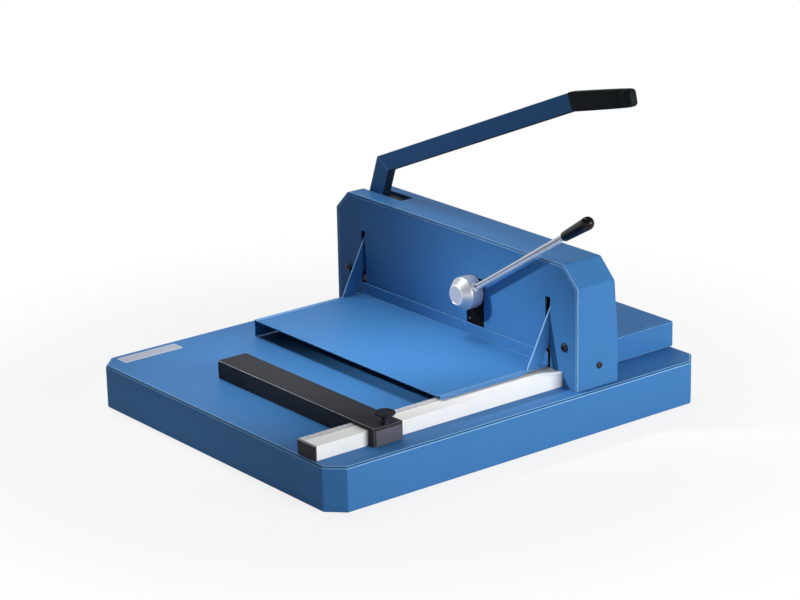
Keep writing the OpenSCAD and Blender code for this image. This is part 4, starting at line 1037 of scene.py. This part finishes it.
def ruler_marks():
    """Millimetre marks and plain numbers on the scale strip, measured from the cut."""
    work = bmesh.new()
    proud, thick, margin = 0.02, 0.03, 0.2
    z, x = TABLE + STRIP_TOP + proud, STRIP_X1 - margin
    for mm in range(40, 455):
        y = CUT_Y - mm
        length = 7.0 if mm % 10 == 0 else 5.0 if mm % 5 == 0 else 3.2
        half = 0.17 if mm % 10 == 0 else 0.12
        corners = [(x - length, y - half), (x, y - half), (x, y + half), (x - length, y + half)]
        low, high = (dots(work, [(*corner, level) for corner in corners]) for level in (z - thick, z))
        band(work, low, high)
        work.faces.new(high)
        work.faces.new(low[::-1])
    dress(piece_from("ruler_marks", work, 30), "side_lay_scale", INK)
    for cm in range(5, 46):
        curve = bpy.data.curves.new(f"ruler_number_{cm}", "FONT")
        curve.body = str(cm)
        curve.size = NUMBER_SIZE * MM
        curve.extrude = proud * MM
        curve.align_x, curve.align_y = "CENTER", "BOTTOM"
        number = linked(f"ruler_number_{cm}", curve)
        bpy.context.view_layer.update()
        mesh = bpy.data.meshes.new_from_object(number.evaluated_get(bpy.context.evaluated_depsgraph_get()))
        place = Vector((NUMBER_FOOT_X, CUT_Y - 10 * cm, z)) * MM
        mesh.transform(Matrix.Translation(place) @ Matrix.Rotation(math.pi / 2, 4, "Z"))
        bpy.data.objects.remove(number)
        dress(linked(f"ruler_figure_{cm}", mesh), "side_lay_scale", INK)


def thumb_knob():
    """Moulded knob: a waisted neck and a flat head with a rim."""
    profile = [
        (3.05, 11.0), (3.05, 0.2), (5.2, 0.0), (5.8, 0.3), (5.6, 1.4), (5.0, 2.2), (4.8, 4.5), (4.9, 9.0),
        (5.6, 11.2), (7.6, 12.9), (10.6, 13.6), (13.2, 13.9), (14.5, 14.4), (15.0, 15.2), (15.0, 16.4),
        (14.6, 17.2), (13.6, 17.7), (12.6, 17.6), (11.6, 17.1), (10.4, 16.8), (6.0, 16.6), (0.0, 16.6),
    ]
    work = turned(profile, (*THUMB, TABLE + STOP_TOP + 0.3), (0, 0, 1), 72)
    stand_for(piece_from("thumb_knob_moulded", work, 45), "thumb_knob", MOULDED)


# Bolts

FRONT_BOLT_X, FRONT_BOLT_H = 259.0, 62.0
SIDE_BOLT_Y, SIDE_BOLT_H = 147.5, 33.0


def button_head(work, centre, axis, head_r, head_l, shank_r, shank_l, hex_r):
    """Domed button head with a hexagon recess, and its shank."""
    steps = 36
    rise = 0.28
    profile = [(0.0, -shank_l), (shank_r, -shank_l), (shank_r, 0.0), (head_r, 0.0), (head_r, head_l * rise)]
    for a in (math.radians(degrees) for degrees in (18, 36, 52, 64)):
        profile.append((head_r * math.cos(a) ** 0.8, head_l * (rise + (1 - rise) * math.sin(a))))
    add_work(work, turned(profile, centre, axis, steps))
    rim_r, top = profile[-1]
    hexagon = []
    for i in range(steps):
        a = 2 * math.pi * i / steps
        sector = (a + math.pi / 6) % (math.pi / 3) - math.pi / 6
        r = hex_r * 0.9 / math.cos(sector)
        hexagon.append((r * math.cos(a), r * math.sin(a)))
    rings = [
        dots(work, squared_to(centre, axis, along, outline))
        for along, outline in (
            (top, circle((0, 0), rim_r, steps)), (top + 0.02, circle((0, 0), hex_r, steps)),
            (top - 0.15, hexagon), (top - head_l * 0.62, hexagon),
        )
    ]
    for low, high in zip(rings, rings[1:]):
        band(work, low, high)
    work.faces.new(rings[-1])


def bolt_pair(name, node, places, **sizes):
    """Two button head bolts: places are (centre, axis)."""
    work = bmesh.new()
    for centre, axis in places:
        button_head(work, centre, axis, **sizes)
    bmesh.ops.remove_doubles(work, verts=work.verts, dist=0.001)
    bmesh.ops.recalc_face_normals(work, faces=work.faces)
    stand_for(piece_from(name, work, 45), node)


def bolts():
    front = [((s * FRONT_BOLT_X, BRIDGE_Y, TABLE + FRONT_BOLT_H), (0, -1, 0)) for s in (-1, 1)]
    side = [((s * BRIDGE_W / 2, SIDE_BOLT_Y, TABLE + SIDE_BOLT_H), (s, 0, 0)) for s in (-1, 1)]
    bolt_pair(
        "front_plate_button_bolts", "front_plate_bolts", front,
        head_r=6.7, head_l=4.0, shank_r=3.0, shank_l=17.0, hex_r=2.5,
    )
    bolt_pair(
        "cover_button_bolts", "cover_bolts", side,
        head_r=5.2, head_l=3.0, shank_r=2.45, shank_l=14.0, hex_r=2.1,
    )


# Putting it together

folded_base()
label_plate()
bridge_cover()
guard_sheet()
guard_arms()
guard_welds()
mitre_weld()
grip_sleeve()
clamp_hub()
clamp_rod()
clamp_knob()
ruler_marks()
thumb_knob()
bolts()

SOFT_WIDTHS = {
    "front_plate": 0.4, "blade_lever_arm": 1.5, "rear_hood": 0.5, "side_lay": 0.6, "side_lay_scale": 0.08,
    "side_lay_end_cap": 0.7, "backstop_bar": 1.3, "backstop_end_plate": 0.4, "lever_crank": 0.6,
    "upright_left": 1.2, "upright_right": 1.2, "bed_beam": 1.2, "rear_frame_plate": 0.6,
    "blade_carrier": 0.8, "clamp_beam": 0.5, "clamp_bearing_block": 0.6, "clamp_guide_blocks": 0.4,
    "cutting_stick": 0.3, "bottom_plate": 0.3, "spiral_cam": 0.3, "hood_hinge_fixed_leaves": 0.25,
    "hood_hinge_moving_leaves": 0.25, "lever_bush": 0.3, "frame_bolts": 0.5, "upright_bolts": 0.6,
    "blade_screws": 0.2, "side_lay_screws": 0.4, "guard_pivot_bolts": 0.4, "clamp_guide_screws": 0.3,
    "clamp_block_screws": 0.3, "cam_roller_stud": 0.4, "guide_rollers": 0.3, "drive_roller": 0.3,
    "cam_roller": 0.3, "thumb_screw": 0.3, "lever_shaft_rings": 0.3,
}
OWN_FINISH = {
    "side_lay_scale": SCALE_STRIP, "backstop_end_plate": END_PLATE, "clamp_guide_screws": SLOT_SCREW,
    "blade_lever_arm": LEVER_ENAMEL, "rear_hood": FOLDED_ENAMEL, "front_plate": PLATE_ENAMEL,
    "clamp_bearing_block": SHADE_DARKENED_CASTING,
}
for node, width in SOFT_WIDTHS.items():
    softened(node, width, OWN_FINISH.get(node))
for name, node in frame["nodes"].items():
    node.data.materials.clear()
    node.data.materials.append(OWN_FINISH.get(name) or FINISHES[SLOT_OF[name]])


# Studio, in metres


def aimed(data, place, target):
    """A lamp at a place, turned to a target."""
    made = linked(data.name, data)
    made.location = place
    made.rotation_mode = "QUATERNION"
    made.rotation_quaternion = (Vector(target) - Vector(place)).to_track_quat("-Z", "Y")
    return made


def lamp(name, place, target, size, watts):
    data = bpy.data.lights.new(name, "AREA")
    data.shape = "RECTANGLE"
    data.size, data.size_y = size
    data.energy = watts
    return aimed(data, place, target)


def spot(name, place, target, watts, degrees):
    data = bpy.data.lights.new(name, "SPOT")
    data.energy = watts
    data.spot_size = math.radians(degrees)
    data.spot_blend = 1.0
    data.shadow_soft_size = 0.12
    return aimed(data, place, target)


def studio_world():
    """White to the camera; what shines sees a white wall with the dim room above it."""
    world = bpy.data.worlds.new("studio")
    bpy.context.scene.world = world
    f = Shading(world)
    rise = f.node("SeparateXYZ", None, {0: f.node("TexCoord", output="Generated")}, "Z")
    wall_fades = (0.1, 0.42)
    wall = 1 - rise.between(*wall_fades)
    camera_ray, glossy_ray, clear_ray = (
        f.node("LightPath", output=f"Is {kind} Ray") for kind in ("Camera", "Glossy", "Transmission")
    )
    seen = (glossy_ray * wall).at_least(clear_ray.at_least(camera_ray))
    room, white = (f.node("Background", None, {"Color": tone}) for tone in ((0.1, 0.103, 0.11), WHITE))
    f.show(f.blend(seen, room, white))


def floor():
    """White to the camera and in reflections, but for the object's shadow on it near the object."""
    reach, drop = 30.0, 0.0002
    shadow_fades, shadow_share = (0.45, 0.95), 0.18
    mesh = bpy.data.meshes.new("floor")
    corners = [(-reach, -reach, 0), (reach, -reach, 0), (reach, reach, 0), (-reach, reach, 0)]
    mesh.from_pydata(corners, [], [(0, 1, 2, 3)])
    made = linked("floor", mesh)
    made.location.z = -drop
    material = bpy.data.materials.new("white_floor")
    f = Shading(material)
    place = f.node("TexCoord", output="Object")
    away = f.node("VectorMath", {"operation": "LENGTH"}, {0: place}, "Value")
    near = (1 - away.between(*shadow_fades)) * shadow_share
    glow = f.node("Emission", None, {"Color": WHITE, "Strength": 1.0})
    lit = f.node("BsdfDiffuse", None, {"Color": (0.97, 0.97, 0.97)})
    dim = f.node("BsdfDiffuse", None, {"Color": (0.8, 0.8, 0.81)})
    camera_ray, glossy_ray = (f.node("LightPath", output=f"Is {kind} Ray") for kind in ("Camera", "Glossy"))
    f.show(f.blend(camera_ray.at_least(glossy_ray), dim, f.blend(near, glow, lit)))
    mesh.materials.append(material)


def camera():
    """The photograph's camera, as fitted to its corners."""
    data = bpy.data.cameras.new("photo_camera")
    data.lens, data.sensor_width = 124.62, 36.0
    data.clip_start, data.clip_end = 0.1, 100.0
    made = linked("photo_camera", data)
    right = Vector((0.6193, 0.7849, -0.0201))
    up = Vector((-0.2358, 0.2103, 0.9488))
    back = Vector((0.7489, -0.5829, 0.3153))
    turn = Matrix((right, up, back)).transposed().to_4x4()
    made.matrix_world = Matrix.Translation((3.1173, -2.4207, 1.4734)) @ turn
    bpy.context.scene.camera = made


studio_world()
floor()
lamp("right_softbox", (2.55, 0.65, 0.85), (0.1, -0.05, 0.1), (1.8, 1.2), 56)
lamp("overhead_softbox", (-0.8, 0.0, 3.0), (0.0, -0.05, 0.1), (2.4, 2.0), 17)
lamp("overhead_small", (-1.2, 0.04, 1.94), (0.28, 0.09, 0.33), (0.22, 0.22), 5)
fill = lamp("rear_left_softbox", (-2.3, 1.7, 0.9), (0.0, 0.1, 0.1), (1.6, 1.2), 22)
fill.visible_glossy = False
spot("table_spot", (-0.35, -0.25, 1.7), (-0.1, -0.14, 0.09), 66, 26)
spot("bridge_spot", (-0.86, -1.57, 1.42), (0.15, 0.06, 0.10), 225, 11.6)
camera()
bpy.context.scene.view_settings.view_transform = "Standard"
